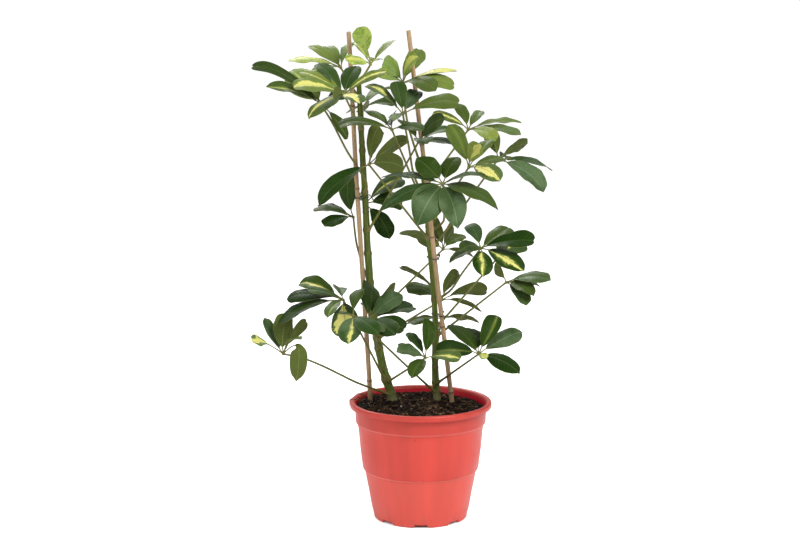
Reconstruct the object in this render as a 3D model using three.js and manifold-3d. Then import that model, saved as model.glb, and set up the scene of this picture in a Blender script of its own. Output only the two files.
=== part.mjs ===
// A potted umbrella plant: a round plastic pot, its soil, two cane-tied stems and their compound leaves.
// Millimetres, +Z up. The origin is the middle of the pot's underside, and -Y is the front.
import * as THREE from "three";
import { mergeVertices } from "three/addons/utils/BufferGeometryUtils.js";
import Module from "manifold-3d";

// ---- driving dimensions ----
const RIM_RADIUS = 95; // the pot's widest radius, at the bead of its rim
const POT_HEIGHT = 159; // the underside to the top of the rim
const LEDGE_HEIGHT = 65; // where the slimmer lower part of the pot begins
const COLLAR_HEIGHT = 130.5; // where the collar under the rim begins
const WALL = 2.5; // thickness of the pot's wall
const FOOT_RADIUS = 61; // outer radius of the foot ring
const FOOT_HEIGHT = 4.5; // the floor's height over the surface that the pot stands on
const FOOT_RING = 6; // thickness of the foot ring
const FOOT_PAD_RADIUS = 20; // the round pad in the middle of the underside, which also touches the surface
const FOOT_NOTCHES = 8;
const NOTCH_WIDTH = 20;
const POT_SIDES = 40;
const SOIL_SIDES = 28;
const SOIL_EDGE_HEIGHT = 144; // height of the soil at the pot's wall
const SOIL_MOUND = 4; // rise of the soil in its middle
const CANE_RADIUS = 3.3;
const CANE_SUNK = 75; // length of each cane in the soil
const STEM_SUNK = 25; // length of each stem in the soil
const SEAT = 0.35; // gap between pieces that rest on each other
const CLEARANCE = 1.6; // least room that a leaflet keeps to anything it passes
const LEAF_THICKNESS = 1.0;
const LEAFLET_SLIMNESS = 0.19; // a leaflet's half-width as a share of its length
const LEAFLET_ARCH = 0.36; // how high a leaflet arches, as a share of its length
const LEAFLET_FOLD = 0.14; // how far its edges rise over the midrib, as a share of its half-width
const LEAFLET_STALK_RADIUS = 0.9;
const TURN_STEP = 5; // degrees between the turns that a crowded leaflet tries
const TURN_LIMIT = 40;
const TURN_DIRECTIONS = 8;
const PETIOLE_RADIUS = 1.5;
const KNOT_RADIUS = 3; // the knot at a petiole's end, from which the leaflets spread

// ---- places of the canes and stems: points from the soil up ----
const CANES = {
  left_cane: { foot: [-68, 27, 150], head: [-95, 12, 649] },
  right_cane: { foot: [43, 22, 150], head: [-17, 2, 651] },
};
const STEMS = {
  left_stem: {
    color: 0x7c8f4e,
    radii: [6.2, 3.2],
    points: [[-36, 24, 146], [-47, 24, 185], [-57, 26, 228], [-66, 28, 294], [-71, 27, 360],
      [-74, 25, 428], [-78, 23, 500], [-82, 20, 585]],
  },
  right_stem: {
    color: 0x8a9455,
    radii: [5.2, 2.6],
    points: [[23, 33, 146], [20, 33, 191], [20, 33, 260], [17, 34, 307], [13, 33, 350], [8, 31, 410],
      [1, 28, 470]],
  },
};
const TIES = {
  left_tie_low: { cane: "left_cane", stem: "left_stem", height: 284 },
  left_tie_high: { cane: "left_cane", stem: "left_stem", height: 428 },
  right_tie_low: { cane: "right_cane", stem: "right_stem", height: 268 },
  right_tie_high: { cane: "right_cane", stem: "right_stem", height: 346 },
};

// ---- the leaves ----
// at: height on the stem where the petiole leaves it; hub: where the leaflets meet; face: where the upper
// side of the umbrella looks; tips: each leaflet's tip, seen from the hub; via: points the petiole passes;
// slimness: half-width of its leaflets as a share of their length, where it isn't the usual one.
const LEAVES = [
  { name: "left_leaf_01", stem: "left_stem", at: 160, hub: [-180, -55, 234], face: [-0.5, 0.7, 0.5],
    via: [[-88, -3, 185], [-127, -25, 210], [-161, -45, 228]],
    tips: [[-38, -22, 21], [-26, 32, 42], [5, 22, 50], [29, 46, 36], [26, -50, 30], [18, -26, -30]] },
  { name: "left_leaf_02", stem: "left_stem", at: 172, hub: [-102, -30, 301], face: [-0.3, -0.5, 0.8],
    tips: [[-61, 32, 18], [-48, -10, 16], [-76, 10, -3], [-88, -22, -22], [-8, 50, 10], [-20, -48, -12],
      [8, -38, -42]] },
  { name: "right_leaf_01", stem: "right_stem", at: 160, hub: [-88, -82, 290], face: [-0.1, -0.5, 0.8],
    tips: [[-6, -35, -30], [5, 50, 29], [-24, 15, 2], [34, -44, -14]] },
  { name: "left_leaf_03", stem: "left_stem", at: 222, hub: [-68, -56, 279], face: [0.2, -0.5, 0.8],
    tips: [[-8, 26, 34], [44, 20, 31], [60, 25, 13], [48, -22, -8], [34, -48, -14], [14, -62, -6],
      [8, 48, 54], [33, 44, 38]] },
  { name: "left_leaf_04", stem: "left_stem", at: 178, hub: [5, -85, 235], face: [0.1, -0.6, 0.8],
    tips: [[4, 20, 49], [-22, 30, 29], [-36, -10, 20], [-42, -30, 8], [-18, -48, -16], [46, -28, 4]] },
  { name: "left_leaf_05", stem: "left_stem", at: 238, hub: [30, 75, 282], face: [0.1, 0.5, 0.85],
    tips: [[-53, -12, 54], [-50, 24, 14], [24, 30, 33], [64, 10, 12], [56, -22, -10]] },
  { name: "left_leaf_06", stem: "left_stem", at: 268, hub: [31, 75, 352], face: [0.0, 0.5, 0.85],
    tips: [[-60, -8, 28], [-36, 15, 14], [-20, 34, 38], [12, 44, 31], [44, -12, -8], [32, 26, 16]] },
  { name: "right_leaf_02", stem: "right_stem", at: 205, hub: [29, 85, 254], face: [0.1, 0.3, 0.9],
    tips: [[53, -12, -3], [40, 30, -6], [-49, 4, -7], [-44, -26, -3], [-10, 44, -2]] },
  { name: "left_leaf_07", stem: "left_stem", at: 300, hub: [-90, 32, 402], face: [-0.4, -0.5, 0.8],
    via: [[-76, 36, 330], [-86, 36, 366]], slimness: 0.22,
    tips: [[-54, -16, 10], [-47, 20, 16], [-39, -38, -2], [0, -8, 62]] },
  { name: "right_leaf_03", stem: "right_stem", at: 370, hub: [-68, -34, 480], face: [-0.1, -0.6, 0.8],
    tips: [[12, 20, 48], [18, 44, 37], [58, 26, 32], [46, -32, 0], [-67, -22, -49]] },
  { name: "left_leaf_08", stem: "left_stem", at: 345, hub: [-75, 62, 416], face: [0.2, -0.3, 0.9],
    tips: [[53, 18, 33], [54, 20, -2], [34, -18, -45], [-20, 46, 8]] },
  { name: "left_leaf_09", stem: "left_stem", at: 380, hub: [-4, -26, 508], face: [0.2, -0.3, 0.9],
    tips: [[-22, 40, 27], [34, -32, 34], [45, 40, 14], [54, -5, -4], [10, -54, 6]] },
  { name: "left_leaf_10", stem: "left_stem", at: 434, hub: [-125, -40, 555], face: [-0.4, -0.4, 0.8],
    slimness: 0.13, via: [[-72, 6, 452], [-95, -12, 492]], tips: [[-94, -16, 58], [-72, -36, 29],
      [-44, 32, 48], [30, 12, -42], [32, 48, 12], [-16, -38, -8]] },
  { name: "left_leaf_11", stem: "left_stem", at: 490, hub: [-78, 85, 545], face: [0.1, 0.2, 0.9],
    tips: [[35, 42, 26], [45, -10, 4], [-38, 42, 16], [-24, 22, -10], [0, 58, -10]] },
  { name: "left_leaf_12", stem: "left_stem", at: 560, hub: [-106, 44, 600], face: [-0.3, -0.2, 0.9],
    tips: [[-20, 30, 30], [-45, 22, 26], [-68, -24, 11], [12, 36, 34], [-35, -40, -2]] },
  { name: "left_leaf_13", stem: "left_stem", at: 580, hub: [-66, 4, 607], face: [0.1, -0.7, 0.7],
    slimness: 0.24, tips: [[30, 26, 32], [-17, -14, 48], [-32, -30, 8], [-30, 34, 30], [8, 42, 4]] },
  { name: "left_leaf_14", stem: "left_stem", at: 520, hub: [-99, -58, 572], face: [-0.1, -0.5, 0.85],
    tips: [[-36, 36, 38], [16, 34, 35], [-66, -24, 14], [-46, -40, -24], [22, -48, -4], [54, 10, 30],
      [-14, -55, -4], [-58, 24, 20]] },
  { name: "right_leaf_04", stem: "right_stem", at: 466, hub: [-24, 12, 582], face: [0.1, -0.6, 0.8],
    via: [[-18, 30, 530]], tips: [[-34, -36, 14], [-32, -18, 26], [26, -30, 32], [22, 34, 44], [54, -34, 2],
      [72, 22, 16], [70, -6, -14]] },
  { name: "right_leaf_05", stem: "right_stem", at: 430, hub: [-24, -34, 545], face: [0.1, -0.5, 0.85],
    via: [[-8, 16, 456], [-16, -10, 500]], tips: [[-9, 14, 43], [21, 30, 31], [74, -22, 18],
      [-48, 20, 38], [-12, -50, -4]] },
  { name: "right_leaf_06", stem: "right_stem", at: 408, hub: [-38, -66, 528], face: [-0.2, -0.4, 0.85],
    tips: [[-70, -26, 11], [-34, 42, 24], [16, 46, 34], [40, -40, 4]] },
  { name: "right_leaf_07", stem: "right_stem", at: 382, hub: [26, -112, 464], face: [0.1, -0.35, 0.9],
    slimness: 0.25, via: [[27, 20, 394], [30, -30, 420]], tips: [[-34, 22, 32], [20, 26, 34],
      [57, -26, 14], [70, -36, -26], [18, -36, -52], [-31, -36, -52], [-80, -28, -30], [-78, 14, 8]] },
  { name: "right_leaf_08", stem: "right_stem", at: 386, hub: [61, -42, 477], face: [0.2, -0.6, 0.7],
    tips: [[-26, 2, 56], [14, -34, 34], [38, -46, -11], [28, 26, 36], [48, 18, 10]] },
  { name: "right_leaf_09", stem: "right_stem", at: 356, hub: [101, 0, 483], face: [0.4, -0.3, 0.85],
    tips: [[60, -28, -38], [74, 16, -14], [40, 32, 18], [-16, 34, 36], [16, 52, -4]] },
  { name: "right_leaf_10", stem: "right_stem", at: 440, hub: [63, 42, 518], face: [0.2, -0.2, 0.9],
    tips: [[18, 20, 25], [72, 8, 9], [68, -22, -16], [34, -46, -8], [-48, -20, 24], [-16, 34, 34]] },
  { name: "right_leaf_11", stem: "right_stem", at: 288, hub: [76, -72, 376], face: [0.3, -0.5, 0.8],
    via: [[38, 26, 302], [54, -20, 335]], tips: [[-16, 34, 28], [38, 34, 23], [70, -20, 13],
      [2, -46, -27], [54, -38, -23], [-26, -48, 8], [-42, -20, -14]] },
  { name: "right_leaf_12", stem: "right_stem", at: 250, hub: [102, 48, 342], face: [0.3, -0.4, 0.85],
    tips: [[44, 36, 18], [30, 2, 6], [8, 40, 30], [12, -40, 26]] },
  { name: "right_leaf_13", stem: "right_stem", at: 238, hub: [113, -4, 320], face: [0.3, -0.6, 0.7],
    tips: [[56, -36, 11], [46, 36, -7], [25, -42, -22], [34, -46, -8], [-14, 44, 12]] },
  { name: "right_leaf_14", stem: "right_stem", at: 174, hub: [75, -52, 233], face: [0.3, -0.5, 0.8],
    tips: [[24, 20, 50], [59, 24, 27], [52, -40, -16], [8, -32, 0], [-56, -30, 13], [-37, 38, 32],
      [-8, 52, 26]] },
];

const wasm = await Module();
wasm.setup();

// ---- geometry helpers ----
const vector = ([x, y, z]) => new THREE.Vector3(x, y, z);

// A closed geometry as a solid that can be joined and cut.
function solid(geometry) {
  const bare = geometry.clone();
  bare.deleteAttribute("normal");
  bare.deleteAttribute("uv");
  const merged = mergeVertices(bare, 1e-4);
  return new wasm.Manifold(new wasm.Mesh({
    numProp: 3,
    vertProperties: new Float32Array(merged.attributes.position.array),
    triVerts: new Uint32Array(merged.index.array),
  }));
}

// A solid back as a geometry for a mesh.
function geometryOf(shape) {
  const { vertProperties, triVerts, numProp } = shape.getMesh();
  const positions = [];
  for (let start = 0; start < vertProperties.length; start += numProp) {
    positions.push(vertProperties[start], vertProperties[start + 1], vertProperties[start + 2]);
  }
  const geometry = new THREE.BufferGeometry();
  geometry.setAttribute("position", new THREE.Float32BufferAttribute(positions, 3));
  geometry.setIndex(Array.from(triVerts));
  geometry.computeVertexNormals();
  return geometry;
}

// A tube along a path, tapering evenly from its first radius to its last.
function taperedTube(points, startRadius, endRadius, sides, steps) {
  const path = new THREE.CatmullRomCurve3(points);
  const section = new THREE.Shape();
  for (let side = 0; side < sides; side += 1) {
    const angle = (side / sides) * 2 * Math.PI;
    const place = new THREE.Vector2(Math.cos(angle), Math.sin(angle));
    if (side === 0) section.moveTo(place.x, place.y);
    else section.lineTo(place.x, place.y);
  }
  const geometry = new THREE.ExtrudeGeometry(section, { steps, extrudePath: path, bevelEnabled: false });
  const rings = path.getSpacedPoints(steps);
  const position = geometry.attributes.position;
  const corner = new THREE.Vector3();
  for (let index = 0; index < position.count; index += 1) {
    corner.fromBufferAttribute(position, index);
    const distances = rings.map((ring) => ring.distanceTo(corner));
    const nearest = distances.indexOf(Math.min(...distances));
    const radius = THREE.MathUtils.lerp(startRadius, endRadius, nearest / steps);
    corner.sub(rings[nearest]).multiplyScalar(radius).add(rings[nearest]);
    position.setXYZ(index, corner.x, corner.y, corner.z);
  }
  return geometry;
}

// ---- the pot ----
function potGeometry() {
  const ledgeRadius = 74.7;
  const bodyRadius = 84.7;
  const collarRadius = 87.3;
  const outside = [
    [0, 0], [FOOT_PAD_RADIUS, 0], [FOOT_PAD_RADIUS, FOOT_HEIGHT],
    [FOOT_RADIUS - FOOT_RING, FOOT_HEIGHT], [FOOT_RADIUS - FOOT_RING, 0], [FOOT_RADIUS, 0],
    [FOOT_RADIUS + 1.5, 1.5], [FOOT_RADIUS + 2.5, 4],
    [ledgeRadius - 0.4, LEDGE_HEIGHT - 3], [ledgeRadius + 2, LEDGE_HEIGHT + 1],
    [bodyRadius - 1.8, COLLAR_HEIGHT - 11], [bodyRadius + 0.5, COLLAR_HEIGHT - 1.5],
    [collarRadius, COLLAR_HEIGHT + 1], [collarRadius + 0.8, POT_HEIGHT - 9],
    [RIM_RADIUS - 1.5, POT_HEIGHT - 7.5], [RIM_RADIUS, POT_HEIGHT - 6], [RIM_RADIUS, POT_HEIGHT - 3],
    [RIM_RADIUS - 1.5, POT_HEIGHT - 0.5], [RIM_RADIUS - 3.5, POT_HEIGHT],
  ];
  const inside = [
    [RIM_RADIUS - 7.5, POT_HEIGHT - 1], [collarRadius - WALL, POT_HEIGHT - 12],
    [bodyRadius - WALL, COLLAR_HEIGHT - 3], [ledgeRadius, LEDGE_HEIGHT + 3],
    [ledgeRadius - WALL, LEDGE_HEIGHT - 4], [FOOT_RADIUS, FOOT_HEIGHT + 5],
    [FOOT_RADIUS - 4, FOOT_HEIGHT + WALL], [0, FOOT_HEIGHT + WALL],
  ];
  const profile = [...outside, ...inside].map(([radius, height]) => new THREE.Vector2(radius, height));
  const lathe = new THREE.LatheGeometry(profile, POT_SIDES);
  lathe.rotateX(Math.PI / 2);
  let shell = solid(lathe);
  for (let index = 0; index < FOOT_NOTCHES; index += 1) {
    const notch = new THREE.BoxGeometry(NOTCH_WIDTH, 4 * FOOT_RING, 2 * FOOT_HEIGHT - 1);
    notch.translate(0, -FOOT_RADIUS, 0);
    notch.rotateZ((index / FOOT_NOTCHES) * 2 * Math.PI);
    shell = shell.subtract(solid(notch));
  }
  return geometryOf(shell);
}

// ---- the canes and stems ----
function caneSolid({ foot, head }, extra = 0) {
  const bottom = vector(foot);
  const top = vector(head);
  const along = top.clone().sub(bottom).normalize();
  const lowest = bottom.clone().addScaledVector(along, -CANE_SUNK - extra);
  const highest = top.clone().addScaledVector(along, extra);
  const length = highest.distanceTo(lowest);
  const cylinder = new THREE.CylinderGeometry(CANE_RADIUS + extra, CANE_RADIUS + extra, length, 12);
  cylinder.applyQuaternion(new THREE.Quaternion().setFromUnitVectors(new THREE.Vector3(0, 1, 0), along));
  const middle = lowest.add(highest).multiplyScalar(0.5);
  cylinder.translate(middle.x, middle.y, middle.z);
  return solid(cylinder);
}

function stemPath(stem, extra = 0) {
  const points = STEMS[stem].points.map(vector);
  const root = points[0].clone();
  root.z -= STEM_SUNK + extra;
  points[points.length - 1].z += extra;
  return [root, ...points];
}

function stemSolid(stem, extra = 0) {
  const [startRadius, endRadius] = STEMS[stem].radii;
  return solid(taperedTube(stemPath(stem, extra), startRadius + extra, endRadius + extra, 8, 14));
}

// The point on a stem at a given height.
function stemPoint(stem, height) {
  const samples = new THREE.CatmullRomCurve3(stemPath(stem)).getSpacedPoints(200);
  return samples.reduce((best, point) => (
    Math.abs(point.z - height) < Math.abs(best.z - height) ? point : best));
}

function canePoint(cane, height) {
  const { foot, head } = CANES[cane];
  return vector(foot).lerp(vector(head), (height - foot[2]) / (head[2] - foot[2]));
}

// ---- the soil ----
function soilGeometry(sunk) {
  const bottom = FOOT_HEIGHT + WALL + SEAT;
  const profile = [
    [0, bottom], [FOOT_RADIUS - FOOT_RING, bottom], [FOOT_RADIUS - 1.5, FOOT_HEIGHT + 7],
    [70.5, LEDGE_HEIGHT - 5], [73, LEDGE_HEIGHT + 3], [80.6, COLLAR_HEIGHT - 4], [83.8, SOIL_EDGE_HEIGHT],
    [60, SOIL_EDGE_HEIGHT + SOIL_MOUND * 0.7], [0, SOIL_EDGE_HEIGHT + SOIL_MOUND],
  ].map(([radius, height]) => new THREE.Vector2(radius, height));
  const lathe = new THREE.LatheGeometry(profile, SOIL_SIDES);
  lathe.rotateX(Math.PI / 2);
  return geometryOf(sunk.reduce((shape, piece) => shape.subtract(piece), solid(lathe)));
}

// ---- the ties ----
// A tie is a wire loop round a cane and a stem, closed by a twisted tail.
function tieGeometry({ cane, stem, height }, cleared) {
  const wire = 1.5;
  const room = 4.8; // from the middle of the cane or stem to the loop's ends
  const canePlace = canePoint(cane, height);
  const stemPlace = stemPoint(stem, height);
  const apart = stemPlace.clone().sub(canePlace);
  const along = Math.hypot(apart.x, apart.y) / 2 + room;
  const across = 6.2;
  const loop = new THREE.Shape();
  loop.absellipse(0, 0, along + wire, across + wire, 0, 2 * Math.PI);
  const opening = new THREE.Path();
  opening.absellipse(0, 0, along, across, 0, 2 * Math.PI, true);
  loop.holes.push(opening);
  const ring = new THREE.ExtrudeGeometry(loop, { depth: 2 * wire, bevelEnabled: false, curveSegments: 8 });
  const tail = taperedTube([new THREE.Vector3(0, -across - 0.5, wire), new THREE.Vector3(4, -across - 5, 2),
    new THREE.Vector3(10, -across - 8, 1)], 1.2, 0.9, 5, 4);
  let shape = solid(ring).add(solid(tail));
  const turn = THREE.MathUtils.radToDeg(Math.atan2(apart.y, apart.x));
  const middle = canePlace.add(stemPlace).multiplyScalar(0.5);
  shape = shape.rotate([0, 0, turn]).translate([middle.x, middle.y, height]);
  return geometryOf(cleared.reduce((rest, piece) => rest.subtract(piece), shape));
}

// ---- the leaves ----
// A leaflet is a run of four-cornered rings from the knot to one tip point: left edge, top of the midrib,
// right edge and underside of the midrib. It arches over, and its two halves fold up a little.
const RINGS = [
  { along: 0, width: 0 }, { along: 0.2, width: 0 }, { along: 0.42, width: 0.8 }, { along: 0.67, width: 1 },
  { along: 0.89, width: 0.66 },
];

function leafletGeometry(leaf, tip, grow = 0, firstRing = 0) {
  const hub = vector(leaf.hub);
  const face = vector(leaf.face).normalize();
  const length = tip.length();
  const broadest = length * (leaf.slimness ?? LEAFLET_SLIMNESS);
  const lift = face.clone().addScaledVector(tip, -face.dot(tip) / tip.lengthSq()).normalize();
  const point = (along) => hub.clone().addScaledVector(tip, along)
    .addScaledVector(lift, LEAFLET_ARCH * length * along * (1 - along));
  const stalk = LEAFLET_STALK_RADIUS + grow;
  const positions = [];
  const rings = RINGS.slice(firstRing);
  for (const { along, width } of rings) {
    const place = Math.max(along, KNOT_RADIUS / 2 / length);
    const centre = point(place);
    const tangent = point(place + 0.02).sub(point(place - 0.02)).normalize();
    const side = new THREE.Vector3().crossVectors(tangent, lift).normalize();
    const upward = new THREE.Vector3().crossVectors(side, tangent).normalize();
    const halfWidth = Math.max(stalk, width * broadest + grow);
    const fold = width * broadest * LEAFLET_FOLD;
    const halfThickness = Math.max(LEAF_THICKNESS / 2, 0.7 * (1 - width)) + grow;
    positions.push(
      centre.clone().addScaledVector(side, -halfWidth).addScaledVector(upward, fold),
      centre.clone().addScaledVector(upward, halfThickness),
      centre.clone().addScaledVector(side, halfWidth).addScaledVector(upward, fold),
      centre.clone().addScaledVector(upward, -halfThickness),
    );
  }
  positions.push(point(1 + grow / length));
  const last = positions.length - 1;
  const faces = [[0, 2, 1], [0, 3, 2]];
  for (let ring = 0; ring < rings.length - 1; ring += 1) {
    for (let corner = 0; corner < 4; corner += 1) {
      const here = ring * 4 + corner;
      const next = ring * 4 + ((corner + 1) % 4);
      faces.push([here, next, next + 4], [here, next + 4, here + 4]);
    }
  }
  for (let corner = 0; corner < 4; corner += 1) {
    faces.push([last - 4 + corner, last - 4 + ((corner + 1) % 4), last]);
  }
  const geometry = new THREE.BufferGeometry();
  geometry.setAttribute("position",
    new THREE.Float32BufferAttribute(positions.flatMap((place) => place.toArray()), 3));
  geometry.setIndex(faces.flat());
  return geometry;
}

function petioleSolid(leaf, grow = 0) {
  const start = stemPoint(leaf.stem, leaf.at);
  const end = vector(leaf.hub);
  const between = leaf.via ? leaf.via.map(vector) : [start.clone().lerp(end, 0.5)];
  const line = [start, ...between, end];
  return solid(taperedTube(line, PETIOLE_RADIUS + 0.6 + grow, PETIOLE_RADIUS - 0.2 + grow, 5, 6));
}

const touches = (shape, others) => others.some((other) => shape.intersect(other).volume() > 1e-6);

// Turns a leaflet about its hub, a little more each time, until it has room: the whole of it among the
// other leaves, and its blade alone among its own leaf's blades.
function settle(leaf, tip, others, ownBlades) {
  const face = vector(leaf.face).normalize();
  const turns = [[0, 0]];
  for (let size = TURN_STEP; size <= TURN_LIMIT; size += TURN_STEP) {
    for (let step = 0; step < TURN_DIRECTIONS; step += 1) {
      const angle = (step / TURN_DIRECTIONS) * 2 * Math.PI;
      turns.push([size * Math.cos(angle), size * Math.sin(angle)]);
    }
  }
  for (const [lean, swing] of turns) {
    const turned = tip.clone()
      .applyAxisAngle(new THREE.Vector3().crossVectors(tip, face).normalize(), THREE.MathUtils.degToRad(lean))
      .applyAxisAngle(face, THREE.MathUtils.degToRad(swing));
    const whole = solid(leafletGeometry(leaf, turned, CLEARANCE));
    const blade = solid(leafletGeometry(leaf, turned, CLEARANCE / 2, 1));
    if (!touches(whole, others) && !touches(blade, ownBlades)) return { turned, whole, blade };
  }
  throw new Error(`${leaf.name}: no room for the leaflet at ${tip.toArray()}`);
}

// ---- the model ----
const plant = new THREE.Group();

function addPiece(name, geometry, color, roughness) {
  const piece = new THREE.Mesh(geometry, new THREE.MeshStandardMaterial({ color, roughness }));
  piece.name = name;
  plant.add(piece);
}

const canes = Object.values(CANES).map((cane) => caneSolid(cane));
const stems = Object.keys(STEMS).map((stem) => stemSolid(stem));
const clearedCanes = Object.values(CANES).map((cane) => caneSolid(cane, SEAT));
const clearedStems = Object.keys(STEMS).map((stem) => stemSolid(stem, SEAT));

addPiece("pot", potGeometry(), 0xd9584f, 0.35);
addPiece("soil", soilGeometry([...clearedCanes, ...clearedStems]), 0x2b211b, 0.95);
Object.keys(CANES).forEach((name, index) => addPiece(name, geometryOf(canes[index]), 0xc79a78, 0.6));
Object.keys(STEMS).forEach((name, index) => addPiece(name, geometryOf(stems[index]), STEMS[name].color, 0.6));
for (const [name, tie] of Object.entries(TIES)) {
  addPiece(name, tieGeometry(tie, [...clearedCanes, ...clearedStems]), 0x1f2420, 0.6);
}

const standing = [...canes, ...stems];
const petioles = LEAVES.map((leaf) => petioleSolid(leaf));
const roomyPetioles = LEAVES.map((leaf) => petioleSolid(leaf, 0.4));
const settled = [];
LEAVES.forEach((leaf, index) => {
  const knot = new THREE.IcosahedronGeometry(KNOT_RADIUS, 0);
  knot.translate(...leaf.hub);
  let shape = petioles[index].add(solid(knot));
  const around = [...standing, ...roomyPetioles.filter((_, other) => other !== index), ...settled];
  const ownBlades = [roomyPetioles[index]];
  for (const place of leaf.tips) {
    const { turned, whole, blade } = settle(leaf, vector(place), around, ownBlades);
    shape = shape.add(solid(leafletGeometry(leaf, turned)));
    settled.push(whole);
    ownBlades.push(blade);
  }
  const seat = clearedStems[Object.keys(STEMS).indexOf(leaf.stem)];
  addPiece(leaf.name, geometryOf(shape.subtract(seat)), 0x4d6b35, 0.45);
});

export default plant;
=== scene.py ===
"""The finish of a potted umbrella plant: its pot, compost, canes, stems, ties and compound leaves.

Everything is in metres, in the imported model's own frame: +Z up, -Y the front, the origin under the pot.
"""
import math
import random

import bmesh
import bpy
import numpy as np
from bpy.props import FloatProperty, FloatVectorProperty, IntProperty, PointerProperty
from bpy.types import Operator, Panel, PropertyGroup
from mathutils import Matrix, Vector, noise


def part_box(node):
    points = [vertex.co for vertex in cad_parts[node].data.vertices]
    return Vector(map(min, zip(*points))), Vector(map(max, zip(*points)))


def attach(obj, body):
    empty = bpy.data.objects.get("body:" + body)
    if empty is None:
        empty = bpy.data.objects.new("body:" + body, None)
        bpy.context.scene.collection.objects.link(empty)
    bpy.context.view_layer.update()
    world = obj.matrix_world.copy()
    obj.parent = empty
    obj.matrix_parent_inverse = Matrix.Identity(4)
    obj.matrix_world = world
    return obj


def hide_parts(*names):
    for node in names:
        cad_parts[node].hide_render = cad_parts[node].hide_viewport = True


bl_info = {
    "name": "Potted umbrella plant",
    "version": (1, 0, 0),
    "blender": (4, 5, 0),
    "location": "3D View > Sidebar > Umbrella Plant",
    "description": "Builds the finish of a variegated umbrella plant tied to canes in a plastic pot",
    "category": "Object",
}

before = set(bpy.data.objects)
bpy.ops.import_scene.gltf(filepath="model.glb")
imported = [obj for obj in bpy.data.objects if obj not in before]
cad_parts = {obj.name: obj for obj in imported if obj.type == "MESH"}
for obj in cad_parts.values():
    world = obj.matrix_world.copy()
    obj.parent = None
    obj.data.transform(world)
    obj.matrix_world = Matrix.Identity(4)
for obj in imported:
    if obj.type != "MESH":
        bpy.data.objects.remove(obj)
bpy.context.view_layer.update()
LEAVES = sorted(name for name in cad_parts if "leaf" in name)
SIDES = ("left", "right")


# ---- what a user may change ----
def color_setting(name, description, default):
    return FloatVectorProperty(
        name=name, description=description, subtype="COLOR", default=default, min=0, max=1)


def length_setting(name, description, default):
    return FloatProperty(name=name, description=description, unit="LENGTH", default=default)


def count_setting(name, description, default, low=0, high=10000):
    return IntProperty(name=name, description=description, default=default, min=low, max=high)


class PotSettings(PropertyGroup):
    color: color_setting("Plastic color", "Color of the pot", (0.64, 0.060, 0.042))
    sides: count_setting("Sides", "Sides of the turned pot", 192, 48, 256)
    ledge_height: length_setting("Ledge height", "Where the slimmer lower part begins", 0.065)
    collar_height: length_setting("Collar height", "Where the collar under the rim begins", 0.1305)
    foot_height: length_setting("Foot height", "Depth of the notches in the foot ring", 0.0045)
    notches: count_setting("Notches", "Notches in the foot ring", 8, 0, 16)


class SoilSettings(PropertyGroup):
    crumbs: count_setting("Crumbs", "Loose crumbs of compost", 2100)
    chips: count_setting("Bark chips", "Chips of bark", 380)
    grains: count_setting("Perlite", "Pale perlite grains", 44)
    fibres: count_setting("Fibres", "Root fibres lying on the compost", 90)


class CaneSettings(PropertyGroup):
    color: color_setting("Cane color", "Color of the dry bamboo", (0.42, 0.275, 0.145))
    sides: count_setting("Sides", "Sides of a cane", 28, 8, 64)


class StemSettings(PropertyGroup):
    color: color_setting("Stem color", "Color of the green stems", (0.085, 0.120, 0.014))
    sides: count_setting("Sides", "Sides of a stem", 28, 8, 64)
    swelling: length_setting("Node swelling", "Rise of the stem where a leaf leaves it", 0.0009)


class TieSettings(PropertyGroup):
    wire: length_setting("Wire", "Radius of one strand of wire", 0.00042)


class LeafSettings(PropertyGroup):
    mature: color_setting("Mature color", "Color of an old blade", (0.010, 0.033, 0.0025))
    young: color_setting("Young color", "Color of a young blade", (0.375, 0.455, 0.09))
    flash: color_setting("Flash color", "Color of the yellow flashes", (0.72, 0.66, 0.22))
    underside: color_setting("Underside color", "Color of a blade's underside", (0.078, 0.102, 0.023))
    breadth: FloatProperty(
        name="Breadth", description="Width of all blades, where 1 is each one's own",
        default=1.06, min=0.5, max=2)
    seed: count_setting("Seed", "Seed of the leaves' small differences", 7)


class StageSettings(PropertyGroup):
    brightness: FloatProperty(name="Surround", description="Strength of the even white surround", default=1.0)
    key: FloatProperty(
        name="Key light", description="Power of the large soft light", unit="POWER", default=62)


SETTINGS = {
    "umbrella_pot": PotSettings,
    "umbrella_soil": SoilSettings,
    "umbrella_cane": CaneSettings,
    "umbrella_stem": StemSettings,
    "umbrella_tie": TieSettings,
    "umbrella_leaf": LeafSettings,
    "umbrella_stage": StageSettings,
}

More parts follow.
